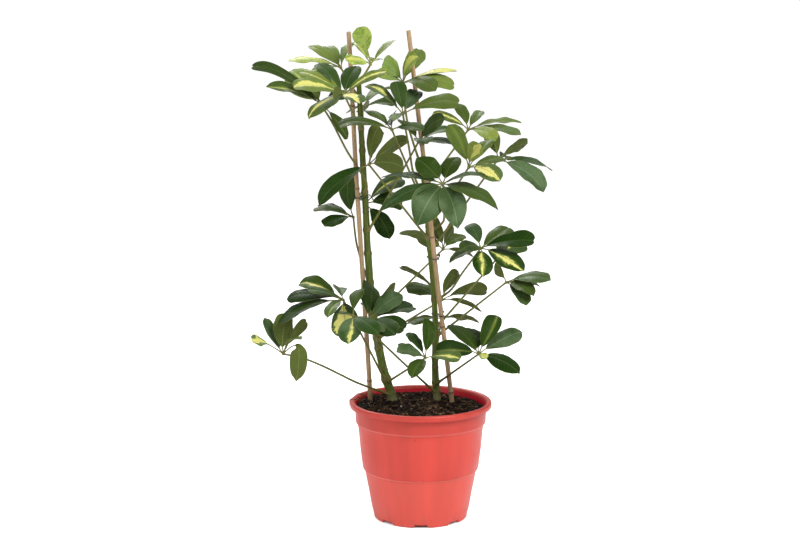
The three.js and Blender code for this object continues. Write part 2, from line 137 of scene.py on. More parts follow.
# How each leaf grows. age: 0 is an old dark leaf and 1 a young yellow-green one. leaflets: one row for each,
# clockwise from the lower left, seen from the front and a little above:
#   tilt: where its upper side looks, in degrees: 0 the front, 90 up, 180 the back
#   breadth: its width, where 1 is the imported leaflet's
#   yellow: how much of it is yellow
#   arch: how much higher it arches, as a share of its length (0 if left out)
#   start: where its blade begins along its middle line (BLADE_START if left out)
#   age: its own age, where it isn't its leaf's
#   painted_sheen: how much a painted grey sheen covers it (a chance amount if left out)
# blade: which of BLADE_SHAPES its leaflets have, where they don't vary
LEAF_LOOKS = {
    "left_leaf_01": {"age": 0.12, "leaflets": [
        (60, 1.1, 0.7, 0.35, 0.42, 0.2, 0.6), (52, 0.8, 0, 0.05, 0.17, 0, 0.6), (160, 1.3, 0.1),
        (128, 0.75, 0), (96, 0.6, 0, 0.2), (164, 1.35, 0, 3, 0.34, 0)]},
    "left_leaf_02": {"age": 0.03, "leaflets": [
        (66, 1, 0.05, 0.1, 0.17, 0, 0), (60, 1, 0, 0.12, 0.17, 0, 0), (60, 0.95, 0.1),
        (50, 0.95, 0.34, 0.2, 0.17, 0, 0), (35, 0.95, 0), (14, 1.75, 0.72, 0, 0.12, 0, 0.5),
        (35, 0.8, 0.2)]},
    "left_leaf_03": {"age": 0.0, "leaflets": [
        (30, 0.8, 0), (35, 1.1, 0), (118, 0.9, 0), (24, 1.15, 0), (62, 1.05, 0), (28, 1.2, 0),
        (38, 1.2, 0.05), (50, 1.2, 0)]},
    "left_leaf_04": {"age": 0.06, "leaflets": [
        (50, 1.1, 0, 0, 0.17, 0, 0.5), (60, 1, 0), (52, 1, 0), (20, 0.95, 0, 0, 0.17, 0, 0),
        (50, 0.95, 0.28), (24, 1, 0.05)]},
    "left_leaf_05": {"age": 0.12, "leaflets": [
        (45, 1.15, 0), (105, 0.85, 0), (140, 1.1, 0), (128, 1.1, 0), (108, 0.95, 0)]},
    "left_leaf_06": {"age": 0.10, "leaflets": [
        (112, 1, 0), (150, 1.25, 0), (140, 1.1, 0), (130, 1, 0), (45, 1.1, 0), (112, 1, 0)]},
    "left_leaf_07": {"age": 0.0, "leaflets": [
        (50, 1.1, 0), (70, 1, 0.05), (74, 1, 0), (18, 1, 0)]},
    "left_leaf_08": {"age": 0.0, "leaflets": [
        (40, 1.15, 0), (44, 1.2, 0.22), (25, 1.2, 0), (25, 1.2, 0)]},
    "left_leaf_09": {"age": 0.06, "leaflets": [
        (45, 1, 0), (60, 1, 0.1), (40, 1.1, 0), (65, 1, 0), (50, 1.1, 0.1)]},
    "left_leaf_10": {"age": 0.08, "leaflets": [
        (62, 1.1, 0.3), (42, 0.62, 0, 0.12, 0.12, 0, 0.1), (20, 2.2, 0.2, 0, 0.17, 0.5), (40, 1.4, 0.1),
        (40, 1.4, 0.1), (40, 0.8, 0.2)]},
    "left_leaf_11": {"age": 0.12, "leaflets": [
        (60, 0.8, 0), (45, 1, 0.1), (50, 1, 0), (55, 1, 0.1), (55, 1, 0)]},
    "left_leaf_12": {"age": 0.62, "leaflets": [
        (60, 0.9, 0.2), (66, 0.9, 0.4, 0, 0.12, 0.8), (52, 1, 0.05, 0, 0.12, 0.4),
        (30, 0.95, 0, 0, 0.12, 0.2, 0.4), (50, 1, 0.1, 0, 0.12, 0.5)]},
    "left_leaf_13": {"age": 0.95, "leaflets": [
        (50, 0.9, 0.5), (10, 0.95, 0.1, 0, 0.40, 1), (60, 0.7, 0.3), (30, 0.9, 0.2),
        (56, 0.65, 0, 0, 0.17, 0.4)]},
    "left_leaf_14": {"age": 0.26, "leaflets": [
        (50, 1.1, 0.3, 0, 0.12, 0.1, 0.6), (46, 1, 0.45, 0, 0.12, 0.3, 0.3), (50, 1, 0.22, 0, 0.12, 0.4),
        (38, 0.9, 0, 0, 0.12, 0, 0.3), (22, 1.25, 0, 0, 0.12, 0, 0.25), (46, 0.8, 0.4, 0, 0.12, 0.25),
        (50, 1.3, 0.7, 0, 0.17, 0.1, 0.5), (120, 1, 0)]},
    "right_leaf_01": {"age": 0.0, "leaflets": [
        (60, 0.8, 0), (30, 0.9, 0, 0, 0.17, 0, 0), (40, 1.15, 0), (14, 1.7, 0.35, 0, 0.12)]},
    "right_leaf_02": {"age": 0.10, "leaflets": [
        (70, 1, 0), (112, 1, 0), (90, 0.7, 0), (108, 1, 0), (110, 1, 0)]},
    "right_leaf_03": {"age": 0.04, "leaflets": [
        (38, 0.8, 0, 0, 0.12, 0), (140, 1.1, 0.1), (107, 0.9, 0), (120, 1, 0), (160, 1.25, 0)]},
    "right_leaf_04": {"age": 0.45, "leaflets": [
        (50, 1.1, 0.2), (38, 1.6, 0.1, 0, 0.2, 0.8, 0.6), (20, 1.1, 0, 0, 0.17, 0.3),
        (60, 1.5, 0.4, 0, 0.17, 0.8), (70, 0.62, 0.9), (30, 0.85, 0.05, 0.1, 0.17, 0.45),
        (40, 1, 0, 0.25, 0.12, 0.2)]},
    "right_leaf_05": {"age": 0.18, "leaflets": [
        (60, 1, 0.3), (15, 1.2, 0, 0, 0.17, 0, 0.15), (20, 1.2, 0, 0, 0.17, 0, 0.6),
        (44, 0.95, 0.05, 0.05, 0.17, 0.2, 0.1), (50, 1, 0.1)]},
    "right_leaf_06": {"age": 0.05, "leaflets": [
        (60, 0.9, 0, 0, 0.1, 0.05, 0), (60, 1, 0.1), (50, 1, 0), (60, 1, 0)]},
    "right_leaf_07": {"age": 0.0, "blade": "pointed", "leaflets": [
        (50, 0.64, 0, 0, 0.08, 0, 0.2), (72, 0.6, 0, 0, 0.1, 0, 0), (26, 1.15, 0, 0, 0.17, 0, 0),
        (36, 1.15, 0, 0, 0.17, 0, 0), (72, 0.6, 0, 0, 0.1, 0, 0), (50, 0.7, 0, 0, 0.08, 0, 0.1),
        (6, 0.98, 0, 0, 0.09, 0, 0.85), (-4, 1.13, 0, 0, 0.09, 0, 0.62)]},
    "right_leaf_08": {"age": 0.14, "leaflets": [
        (25, 1.05, 0.1, 0, 0.17, 0.1, 0.1), (40, 1, 0.1), (20, 1.1, 0.5, 0, 0.17, 0.6), (55, 1, 0.1),
        (26, 1.1, 0.75, 0.1)]},
    "right_leaf_09": {"age": 0.0, "leaflets": [
        (150, 1.1, 0), (60, 1, 0), (125, 1, 0), (66, 1, 0), (44, 1.15, 0, 0, 0.17, 0, 0.8)]},
    "right_leaf_10": {"age": 0.24, "leaflets": [
        (54, 1, 0.5), (30, 1, 0, 0, 0.17, 0.05), (40, 1.2, 0, 0, 0.17, 0.2, 0.5), (70, 0.75, 0),
        (60, 0.8, 0.05), (40, 1, 0.05, 0, 0.17, 0.6)]},
    "right_leaf_11": {"age": 0.0, "leaflets": [
        (48, 1, 0.05), (60, 1, 0), (24, 1.1, 0), (48, 1.4, 0, 0, 0.1, 0, 0), (50, 1, 0, 0, 0.1, 0, 0),
        (42, 1.1, 0.42), (10, 1.3, 0.35)]},
    "right_leaf_12": {"age": 0.06, "leaflets": [
        (30, 1, 0), (28, 1.15, 0.2), (50, 0.9, 0), (30, 1, 0)]},
    "right_leaf_13": {"age": 0.03, "leaflets": [
        (130, 0.95, 0), (60, 1, 0), (60, 1.05, 0), (45, 1, 0), (30, 1.05, 0.05)]},
    "right_leaf_14": {"age": 0.0, "leaflets": [
        (40, 1.1, 0.15), (44, 1.2, 0, 0, 0.1, 0, 0), (24, 1.1, 0), (14, 1.05, 0.14), (44, 1.05, 0),
        (38, 1.05, 0), (30, 0.9, 0.9, 0, 0.17, 0.6, 0.5)]},
}
# A blade's outline: how it fills towards its foot and narrows to its tip, and how deep its tip is notched.
BLADE_SHAPES = {
    "round": (0.85, 0.46, 0.0),
    "notched": (0.95, 0.42, 0.05),
    "blunt": (0.80, 0.62, 0.0),
    "pointed": (0.80, 0.90, 0.0),
}
VEINS = 11  # side veins on each half of a blade


# ---- modelling helpers ----
def deselect_all():
    bpy.ops.object.select_all(action="DESELECT")


def pick_only(piece):
    """Makes one piece the selected and active one."""
    deselect_all()
    piece.select_set(True)
    bpy.context.view_layer.objects.active = piece


def edit(piece, everything=False):
    """Opens one piece in edit mode with nothing selected, or everything."""
    pick_only(piece)
    bpy.ops.object.mode_set(mode="EDIT")
    bpy.ops.mesh.select_all(action="SELECT" if everything else "DESELECT")


def pick(piece, test):
    """In edit mode, selects the vertices whose place passes the test."""
    mesh = bmesh.from_edit_mesh(piece.data)
    for vertex in mesh.verts:
        vertex.select = bool(test(vertex.co))
    mesh.select_flush_mode()
    bmesh.update_edit_mesh(piece.data)


def leave_edit():
    bpy.ops.object.mode_set(mode="OBJECT")


def newly_added(name):
    """The piece that an operator has just added, named, with its place moved into its mesh."""
    piece = bpy.context.object
    piece.name = name
    pick_only(piece)
    bpy.ops.object.transform_apply(location=True, rotation=True, scale=True)
    return piece


def turned(name, profile, sides):
    """A closed round piece: each (radius, height) is the ring before it, extruded and resized."""
    radius, height = profile[0]
    deselect_all()
    bpy.ops.mesh.primitive_circle_add(
        vertices=sides, radius=radius, location=(0, 0, height), fill_type="NGON")
    piece = newly_added(name)
    bpy.ops.object.mode_set(mode="EDIT")
    bpy.ops.mesh.select_mode(type="VERT")
    bpy.ops.mesh.select_all(action="SELECT")
    bpy.ops.mesh.select_mode(type="EDGE")
    for next_radius, next_height in profile[1:]:
        bpy.ops.mesh.extrude_edges_move(TRANSFORM_OT_translate={"value": (0, 0, next_height - height)})
        size = next_radius / radius
        bpy.ops.transform.resize(value=(size, size, 1), center_override=(0, 0, next_height))
        radius, height = next_radius, next_height
    bpy.ops.mesh.edge_face_add()
    bpy.ops.mesh.select_mode(type="VERT")
    bpy.ops.mesh.select_all(action="SELECT")
    bpy.ops.mesh.normals_make_consistent(inside=False)
    leave_edit()
    return piece


def copy_of(pattern, name):
    piece = pattern.copy()
    piece.data = pattern.data.copy()
    piece.name = name
    bpy.context.scene.collection.objects.link(piece)
    return piece


def joined(pieces, name):
    """One piece out of several."""
    pick_only(pieces[0])
    for piece in pieces:
        piece.select_set(True)
    bpy.ops.object.join()
    whole = bpy.context.object
    whole.name = name
    whole.data.name = name
    return whole


def removed(pieces):
    for piece in pieces:
        bpy.data.objects.remove(piece)


def smooth_shaded(piece, angle):
    """Shades a piece smooth, but for its edges that are sharper than the angle in degrees."""
    pick_only(piece)
    bpy.ops.object.shade_smooth_by_angle(angle=math.radians(angle))


def places_of(piece):
    places = np.empty(len(piece.data.vertices) * 3)
    piece.data.vertices.foreach_get("co", places)
    return places.reshape(-1, 3)


def put_places(piece, places):
    piece.data.vertices.foreach_set("co", places.ravel())
    piece.data.update()


def put_number(piece, name, values):
    """Keeps one number for each vertex under a name that a material reads."""
    attribute = piece.data.attributes.get(name) or piece.data.attributes.new(name, "FLOAT", "POINT")
    attribute.data.foreach_set("value", np.broadcast_to(values, len(piece.data.vertices)).astype(np.float32))


def put_triple(piece, name, values):
    """Keeps three numbers for each vertex under a name that a material reads."""
    attribute = piece.data.attributes.get(name) or piece.data.attributes.new(name, "FLOAT_VECTOR", "POINT")
    rows = np.broadcast_to(values, (len(piece.data.vertices), 3))
    attribute.data.foreach_set("vector", rows.astype(np.float32).ravel())


def put_material(piece, material):
    piece.data.materials.clear()
    piece.data.materials.append(material)


def finished(piece, slot, *nodes):
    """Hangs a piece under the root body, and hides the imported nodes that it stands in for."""
    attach(piece, "root")
    if nodes:
        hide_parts(*nodes)


def arc(centre_radius, centre_height, size, start, stop, steps):
    """Points of a rounded corner in a turned profile, from one angle to another in degrees."""
    angles = [math.radians(start + (stop - start) * step / steps) for step in range(steps + 1)]
    return [(centre_radius + size * math.cos(angle), centre_height + size * math.sin(angle))
            for angle in angles]


# ---- lines that pieces follow ----
def smooth_line(points, steps):
    """Evenly spaced places on a smooth line through the points, and the line's length."""
    points = np.array(points, float)
    knots = np.vstack([2 * points[0] - points[1], points, 2 * points[-1] - points[-2]])
    dense = []
    for index in range(len(points) - 1):
        a, b, c, d = knots[index:index + 4]
        for t in np.linspace(0, 1, 24, endpoint=False):
            dense.append(0.5 * (2 * b + (c - a) * t + (2 * a - 5 * b + 4 * c - d) * t ** 2
                                + (3 * b - a - 3 * c + d) * t ** 3))
    dense.append(points[-1])
    dense = np.array(dense)
    reach = np.concatenate([[0], np.cumsum(np.linalg.norm(np.diff(dense, axis=0), axis=1))])
    even = np.linspace(0, reach[-1], steps + 1)
    return np.column_stack([np.interp(even, reach, dense[:, axis]) for axis in range(3)]), reach[-1]


def unit(vectors):
    return vectors / np.maximum(np.linalg.norm(vectors, axis=-1, keepdims=True), 1e-12)


def square_directions(line):
    """Two directions square to the line at each of its places, which don't twist along it."""
    tangents = unit(np.gradient(line, axis=0))
    start = np.array([1.0, 0, 0]) if abs(tangents[0][0]) < 0.9 else np.array([0, 1.0, 0])
    sides = [unit(start - tangents[0] * (start @ tangents[0]))]
    for tangent in tangents[1:]:
        side = sides[-1] - tangent * (sides[-1] @ tangent)
        sides.append(unit(side))
    sides = np.array(sides)
    return sides, np.cross(tangents, sides)


def laid_along(piece, points, foot=0.0, steps=96):
    """Bends a straight upright piece onto a line. Its lowest stretch, called foot, keeps its length."""
    line, length = smooth_line(points, steps)
    sides, ups = square_directions(line)
    places = places_of(piece)
    height = places[:, 2].max()
    stretch = (length - foot) / (height - foot)
    along = np.where(places[:, 2] < foot, places[:, 2], foot + (places[:, 2] - foot) * stretch) / length
    spot = np.clip(along, 0, 1) * steps
    here = np.minimum(spot.astype(int), steps - 1)
    part = (spot - here)[:, None]

    def between(rows):
        return rows[here] * (1 - part) + rows[here + 1] * part

    bent = between(line) + unit(between(sides)) * places[:, :1] + unit(between(ups)) * places[:, 1:2]
    put_places(piece, bent)
    put_number(piece, "along", along)
    return piece


def merged_corners(node):
    """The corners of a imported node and, for each, the corners it shares an edge with."""
    mesh = bmesh.new()
    mesh.from_mesh(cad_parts[node].data)
    bmesh.ops.remove_doubles(mesh, verts=mesh.verts, dist=1e-5)
    mesh.verts.index_update()
    corners = np.array([vertex.co[:] for vertex in mesh.verts])
    neighbours = [{edge.other_vert(vertex).index for edge in vertex.link_edges} for vertex in mesh.verts]
    mesh.free()
    return corners, neighbours


def ring_middles(corners, distances, gap=0.004):
    """The middles of a tube's rings, told apart by gaps in their distance from one end."""
    order = np.argsort(distances)
    breaks = np.nonzero(np.diff(distances[order]) > gap)[0] + 1
    return [corners[group].mean(axis=0) for group in np.split(order, breaks)]


def upright_line(node):
    """The middle line of a packed cane or stem, from its foot up."""
    corners, _ = merged_corners(node)
    return np.array(ring_middles(corners, corners[:, 2]))


def place_at_height(node, height):
    """Where a packed cane or stem is at a height."""
    line = upright_line(node)
    return np.array([np.interp(height, line[:, 2], line[:, axis]) for axis in range(3)])


# ---- material helpers ----
class Value:
    """The output of a shader node. A sum with it, such as a * b + c, adds math nodes and is a Value too."""

    def __init__(self, tree, socket):
        self.tree = tree
        self.socket = socket

    def __add__(self, other):
        return calculated("ADD", self, other)

    def __sub__(self, other):
        return calculated("SUBTRACT", self, other)

    def __mul__(self, other):
        return calculated("MULTIPLY", self, other)

    def __abs__(self):
        return calculated("ABSOLUTE", self)


def put(tree, socket, value):
    """Links a Value to a node's input, or sets it to a constant. A color's alpha is left at 1."""
    if isinstance(value, Value):
        tree.links.new(value.socket, socket)
    elif socket.type == "RGBA":
        socket.default_value = (*value[:3], 1)
    else:
        socket.default_value = value


def added(tree, kind, inputs=None, output=0, **settings):
    """Adds a shader node and gives one of its outputs."""
    made = tree.nodes.new("ShaderNode" + kind)
    for name, value in settings.items():
        setattr(made, name, value)
    for name, value in (inputs or {}).items():
        put(tree, made.inputs[name], value)
    return Value(tree, made.outputs[output])


def calculated(operation, *terms):
    return added(terms[0].tree, "Math", dict(enumerate(terms)), operation=operation)


def axes_of(vector):
    """The three numbers of a vector."""
    first = added(vector.tree, "SeparateXYZ", {"Vector": vector})
    return [Value(vector.tree, socket) for socket in first.socket.node.outputs]


def mixed(share, first, second):
    """A color between two, or one laid over the other."""
    return added(share.tree, "Mix", {"Factor": share, 6: first, 7: second}, 2, data_type="RGBA")


def layered(color, *layers):
    """A color with others laid over it in turn, each by its own share."""
    for share, layer in layers:
        color = mixed(share, color, layer)
    return color


def toned(color, tone):
    """A color made lighter or darker by a factor that changes over the surface."""
    grey = added(tone.tree, "CombineColor", {"Red": tone, "Green": tone, "Blue": tone})
    return added(tone.tree, "Mix", {"Factor": 1.0, 6: color, 7: grey}, 2,
                 data_type="RGBA", blend_type="MULTIPLY")


def stepped(value, low, high):
    """0 below low, 1 above high and smooth between."""
    return added(value.tree, "MapRange", {"Value": value, "From Min": low, "From Max": high},
                 interpolation_type="SMOOTHSTEP", clamp=True)


def scaled(value, low, high, to_low, to_high):
    return added(value.tree, "MapRange", {"Value": value, "From Min": low, "From Max": high,
                                          "To Min": to_low, "To Max": to_high}, clamp=True)


def object_places(tree, stretch=(1, 1, 1)):
    """Object coordinates, stretched."""
    coordinates = added(tree, "TexCoord", output="Object")
    return added(tree, "Mapping", {"Vector": coordinates, "Scale": stretch})


def height_in(tree):
    return axes_of(object_places(tree))[2]


def noise_at(vector, scale=1.0, detail=3.0, roughness=0.55):
    return added(vector.tree, "TexNoise", {"Vector": vector, "Scale": scale, "Detail": detail,
                                           "Roughness": roughness}, "Fac")


def noise_over(tree, scale, detail=3.0, roughness=0.55):
    """Noise all over a piece. A scale of three numbers stretches it."""
    if isinstance(scale, tuple):
        return noise_at(object_places(tree, scale), 1.0, detail, roughness)
    return noise_at(object_places(tree), scale, detail, roughness)


def attribute_of(tree, name, output="Fac"):
    return added(tree, "Attribute", output=output, attribute_name=name, attribute_type="GEOMETRY")


def bumped(height, strength, distance, onto=None):
    inputs = {"Height": height, "Strength": strength, "Distance": distance}
    if onto is not None:
        inputs["Normal"] = onto
    return added(height.tree, "Bump", inputs)


def new_material(name):
    material = bpy.data.materials.new(name)
    material.use_nodes = True
    return material, material.node_tree


def surfaced(material, **values):
    """A material with its surface's inputs set or linked. Their names have _ for a space."""
    tree = material.node_tree
    for name, value in values.items():
        put(tree, tree.nodes["Principled BSDF"].inputs[name.replace("_", " ")], value)
    return material


def mottling_group():
    """Soft uneven tone and fine grain over a surface: a color factor and a bump height."""
    group = bpy.data.node_groups.get("mottling")
    if group:
        return group
    group = bpy.data.node_groups.new("mottling", "ShaderNodeTree")
    group.interface.new_socket(name="Vector", in_out="INPUT", socket_type="NodeSocketVector")
    for name in ("Broad Scale", "Fine Scale", "Contrast"):
        group.interface.new_socket(name=name, in_out="INPUT", socket_type="NodeSocketFloat")
    for name in ("Tone", "Grain"):
        group.interface.new_socket(name=name, in_out="OUTPUT", socket_type="NodeSocketFloat")
    entry = group.nodes.new("NodeGroupInput").outputs
    vector, broad_scale, fine_scale, contrast = [Value(group, entry[number]) for number in range(4)]
    broad = noise_at(vector, broad_scale, 4)
    fine = noise_at(vector, fine_scale, 3)
    tone = (broad * 0.7 + fine * 0.3 - 0.5) * contrast + 1.0
    result = group.nodes.new("NodeGroupOutput").inputs
    put(group, result["Tone"], tone)
    put(group, result["Grain"], fine)
    return group


def mottling(tree, broad, fine, contrast):
    inputs = {"Vector": object_places(tree), "Broad Scale": broad, "Fine Scale": fine, "Contrast": contrast}
    tone = added(tree, "Group", inputs, "Tone", node_tree=mottling_group())
    return tone, Value(tree, tone.socket.node.outputs["Grain"])


# ---- the materials ----
def pot_plastic(settings):
    """Moulded plastic with soft upright bands and scuffs, painted highlights on the lips, painted light low
    down, painted shade on the collar and rim, and a deeper red inside as painted shade.
    """
    ledge, collar = settings.ledge_height, settings.collar_height
    material, tree = new_material("pot_plastic")
    tone, grain = mottling(tree, 9, 900, 0.12)
    height = height_in(tree)
    drawn = noise_over(tree, (110, 110, 3), 4, 0.6)
    bands = noise_over(tree, (26, 26, 1.5), 2)
    color = toned(settings.color, tone)
    color = toned(color, scaled(drawn, 0.3, 0.7, 0.96, 1.04))
    color = toned(color, scaled(bands, 0.35, 0.65, 0.90, 1.06))
    scuffs = stepped(noise_over(tree, (150, 150, 70), 6, 0.7), 0.635, 0.68)
    worn = stepped(noise_over(tree, (14, 14, 14), 2), 0.50, 0.62)
    color = layered(
        color,
        # painted light: the body below the ledge lighter and pinker
        (stepped(height, ledge + 0.002, ledge - 0.002) * 0.30, (0.82, 0.155, 0.115)),
        (scuffs * worn * 0.55, (0.16, 0.030, 0.024)),
        # painted shade: everything above the collar darker
        (stepped(height, collar - 0.004, collar + 0.004) * 0.35,
         [channel * 0.55 for channel in settings.color]))
    # painted highlight: a pale line along each lip, where it catches the light
    for highlit_lip, share in ((ledge + 0.0012, 0.34), (collar + 0.0004, 0.30)):
        near = abs(height - highlit_lip)
        color = mixed(stepped(near, 0.0017, 0.0002) * share, color, (0.86, 0.30, 0.24))
    outward = added(tree, "VectorMath", {0: added(tree, "TexCoord", output="Normal"),
                                         1: added(tree, "TexCoord", output="Object")},
                    "Value", operation="DOT_PRODUCT")
    dust = stepped(height, 0.03, 0.0) * stepped(noise_over(tree, 70, 5), 0.45, 0.7)
    color = layered(
        color,
        # painted shade: a deeper red on the faces that look inwards
        (stepped(outward, -0.01, -0.03), (0.62, 0.006, 0.022)),
        (dust * 0.35, (0.25, 0.12, 0.09)))
    return surfaced(
        material, Base_Color=color, Roughness=scaled(noise_over(tree, 35, 4), 0.3, 0.7, 0.30, 0.44),
        Specular_IOR_Level=0.32, Coat_Weight=0.05, Coat_Roughness=0.22, Normal=bumped(grain, 0.12, 0.0002))


def compost_material(name, dark, light):
    material, tree = new_material(name)
    tone, grain = mottling(tree, 160, 900, 0.9)
    patches = stepped(noise_over(tree, 190, 4), 0.53, 0.70)
    return surfaced(
        material, Base_Color=toned(mixed(patches, dark, light), tone), Roughness=0.9, Specular_IOR_Level=0.15,
        Normal=bumped(grain, 0.7, 0.0008))


def perlite_material():
    material, tree = new_material("perlite")
    tone, grain = mottling(tree, 300, 1800, 0.25)
    return surfaced(material, Base_Color=toned((0.62, 0.54, 0.40), tone), Roughness=0.8,
                    Normal=bumped(grain, 0.6, 0.0004))


def cane_bamboo(settings):
    """Dry bamboo: long fibres, pale and tan streaks, and a dark scar at each joint."""
    material, tree = new_material("cane_bamboo")
    fibres = noise_over(tree, (700, 700, 14), 4, 0.6)
    blotches = noise_over(tree, (60, 60, 16), 4)
    shade = [channel * 0.72 for channel in settings.color]
    shine = [min(1, channel * 1.25) for channel in settings.color]
    color = layered(
        mixed(scaled(fibres, 0.3, 0.7, 0, 1), shade, shine),
        (stepped(blotches, 0.52, 0.72) * 0.55, (0.24, 0.11, 0.055)),
        (attribute_of(tree, "joint") * 0.85, (0.07, 0.028, 0.014)))
    return surfaced(material, Base_Color=color, Roughness=scaled(fibres, 0.3, 0.7, 0.5, 0.68),
                    Normal=bumped(fibres, 0.35, 0.0004))


def stem_skin(settings):
    """Green stem skin, pale at its foot, with scars at its nodes and small corky specks."""
    material, tree = new_material("stem_skin")
    streaks = noise_over(tree, (420, 420, 30), 4, 0.6)
    tone, grain = mottling(tree, 45, 900, 0.5)
    specks = stepped(noise_over(tree, (650, 650, 260), 2), 0.66, 0.70)
    wavy_height = noise_over(tree, 90, 4) * 0.05 + height_in(tree)
    color = layered(
        toned(settings.color, tone),
        (stepped(streaks, 0.48, 0.68), (0.16, 0.21, 0.030)),
        (specks * 0.6, (0.30, 0.24, 0.11)),
        (attribute_of(tree, "joint") * 0.8, (0.16, 0.105, 0.045)),
        (stepped(wavy_height, 0.205, 0.175), (0.105, 0.135, 0.030)),
        (stepped(wavy_height, 0.196, 0.176) * 0.55, (0.30, 0.28, 0.15)))
    return surfaced(material, Base_Color=color, Roughness=0.5, Specular_IOR_Level=0.25,
                    Normal=bumped(grain + streaks, 0.3, 0.0005))


def tie_wire():
    material, tree = new_material("tie_wire")
    tone, grain = mottling(tree, 200, 1500, 0.5)
    return surfaced(material, Base_Color=toned((0.035, 0.042, 0.03), tone), Roughness=0.5,
                    Normal=bumped(grain, 0.3, 0.0002))


def leaf_stalk():
    """The stalks: olive green, browner where they leave the stem, with fine streaks."""
    material, tree = new_material("leaf_stalk")
    tone, grain = mottling(tree, 60, 900, 0.45)
    age = axes_of(attribute_of(tree, "leaflet", "Vector"))[0]
    blush = stepped(noise_over(tree, 28, 3), 0.5, 0.7)
    color = layered(
        mixed(age, (0.135, 0.142, 0.028), (0.25, 0.27, 0.06)),
        (stepped(attribute_of(tree, "along"), 0.10, 0.0), (0.23, 0.17, 0.06)),
        (blush * 0.35, (0.19, 0.12, 0.04)))
    return surfaced(material, Base_Color=toned(color, tone), Roughness=0.45, Specular_IOR_Level=0.3,
                    Normal=bumped(grain, 0.2, 0.0003))


def leaf_blade(settings):
    """A waxy blade: green by age, a painted grey sheen, a pale midrib and side veins, yellow flashes that
    follow the veins from the midrib outwards, and a dull olive underside."""
    material, tree = new_material("leaf_blade")
    across, along, to_edge = axes_of(attribute_of(tree, "blade_place", "Vector"))
    age, flash, seed = axes_of(attribute_of(tree, "leaflet", "Vector"))
    aside = abs(across)
    edgeness = abs(to_edge)

    # vein: where the side vein through a place starts on the midrib
    vein = along - aside * 0.16
    ripple = calculated("SINE", vein * (2 * math.pi * VEINS))
    fade = stepped(edgeness, 0.98, 0.6)
    veins = stepped(ripple, 0.86, 1.0) * fade
    midrib = stepped(aside, 0.045, 0.015)

    def noise_by_veins(spacing, sideways, offset, detail, roughness):
        """Noise drawn out along the side veins, which each leaflet has of its own."""
        place = added(tree, "CombineXYZ", {0: vein * spacing, 1: sideways, 2: seed * offset})
        return noise_at(place, 1.0, detail, roughness)

    # flashes: a feathered band beside the midrib, wider on one side, with loose flecks outside it
    side = calculated("SIGN", across)
    feathers = noise_by_veins(13.0, side * 4.0 + across, 37.0, 5, 0.6)
    broad = noise_by_veins(2.6, side * 3.0 + across, 19.0, 2, 0.5)
    reach = (feathers - 0.5) * 1.1 + ((broad - 0.5) * 1.9 + 0.62)
    widest = calculated("FRACT", seed * 7.3) * 0.4 + 0.35
    envelope = calculated("MAXIMUM", abs(along - widest) * -1.3 + 1.25, 0.0)
    middle = calculated("SINE", seed * 41.0) * 0.22
    over = (flash * 1.25 - 0.10) * reach * envelope - (abs(to_edge - middle) * 0.92 + 0.03)
    yellow = stepped(over, -0.03, 0.09)
    flecks = stepped(flash * 0.22 + noise_by_veins(16.0, across * 3.5, 53.0, 3, 0.5), 0.80, 0.84)
    margin = stepped(over, -0.26, -0.03) * stepped(flash, 0.0, 0.15)

    # the upper side's greens, its painted sheen and its dust
    tone, _ = mottling(tree, 55, 1100, 0.45)
    tone = tone * (calculated("SINE", seed * 97.0) * 0.22 + 1.0)
    green = mixed(calculated("MAXIMUM", margin, flecks) * 0.75,
                  mixed(age, settings.mature, settings.young),
                  mixed(age, (0.115, 0.160, 0.026), (0.36, 0.43, 0.08)))
    # painted sheen: each leaflet's own amount, spread unevenly by a broad cloud
    sheen_cloud = scaled(noise_over(tree, 34, 2), 0.38, 0.62, 0.45, 1.45)
    painted_sheen = calculated("MINIMUM", attribute_of(tree, "painted_sheen") * sheen_cloud, 1.0)
    dust = stepped(noise_over(tree, 620, 3, 0.7), 0.60, 0.72) * (painted_sheen * 0.30 + 0.05)
    patches = stepped(broad * 0.5 + feathers * 0.5, 0.49, 0.57) * age
    bright = mixed(noise_over(tree, 90, 3), settings.flash, (0.64, 0.62, 0.17))
    rib = mixed(age, (0.100, 0.140, 0.034), (0.32, 0.37, 0.09))
    upper = layered(
        toned(green, tone),
        # painted sheen: a greyer, paler green over the upper side
        (painted_sheen, mixed(age, (0.083, 0.134, 0.058), (0.18, 0.27, 0.075))),
        (dust, (0.42, 0.46, 0.36)),
        (patches * 0.75, (0.12, 0.20, 0.026)),
        (yellow, mixed(age, bright, (0.50, 0.52, 0.11))),
        (veins * 0.14, rib),
        # the midrib made paler still under the painted sheen
        (midrib * 0.5, mixed(painted_sheen * 0.5, rib, (0.36, 0.42, 0.28))),
        (stepped(edgeness, 0.94, 0.99) * 0.4, (0.25, 0.25, 0.07)))

    lower = layered(
        toned(mixed(age, settings.underside, (0.25, 0.31, 0.085)), tone),
        (yellow * 0.7, (0.46, 0.42, 0.15)),
        (midrib * 0.7, (0.20, 0.23, 0.07)),
        (veins * 0.3, (0.15, 0.175, 0.055)))

    under = attribute_of(tree, "underside")
    gloss = scaled(noise_over(tree, 120, 3), 0.3, 0.7, 0.36, 0.52)
    rough = added(tree, "Mix", {"Factor": under, "A": gloss, "B": 0.62}, data_type="FLOAT")
    relief = ripple * (fade * -0.5) + midrib * -1.0
    normal = bumped(noise_over(tree, 260, 3), 0.10, 0.0006, bumped(relief, 0.30, 0.0004))
    return surfaced(material, Base_Color=mixed(under, upper, lower), Roughness=rough, Normal=normal,
                    Specular_IOR_Level=0.14, Specular_Tint=(0.5, 0.56, 0.32))


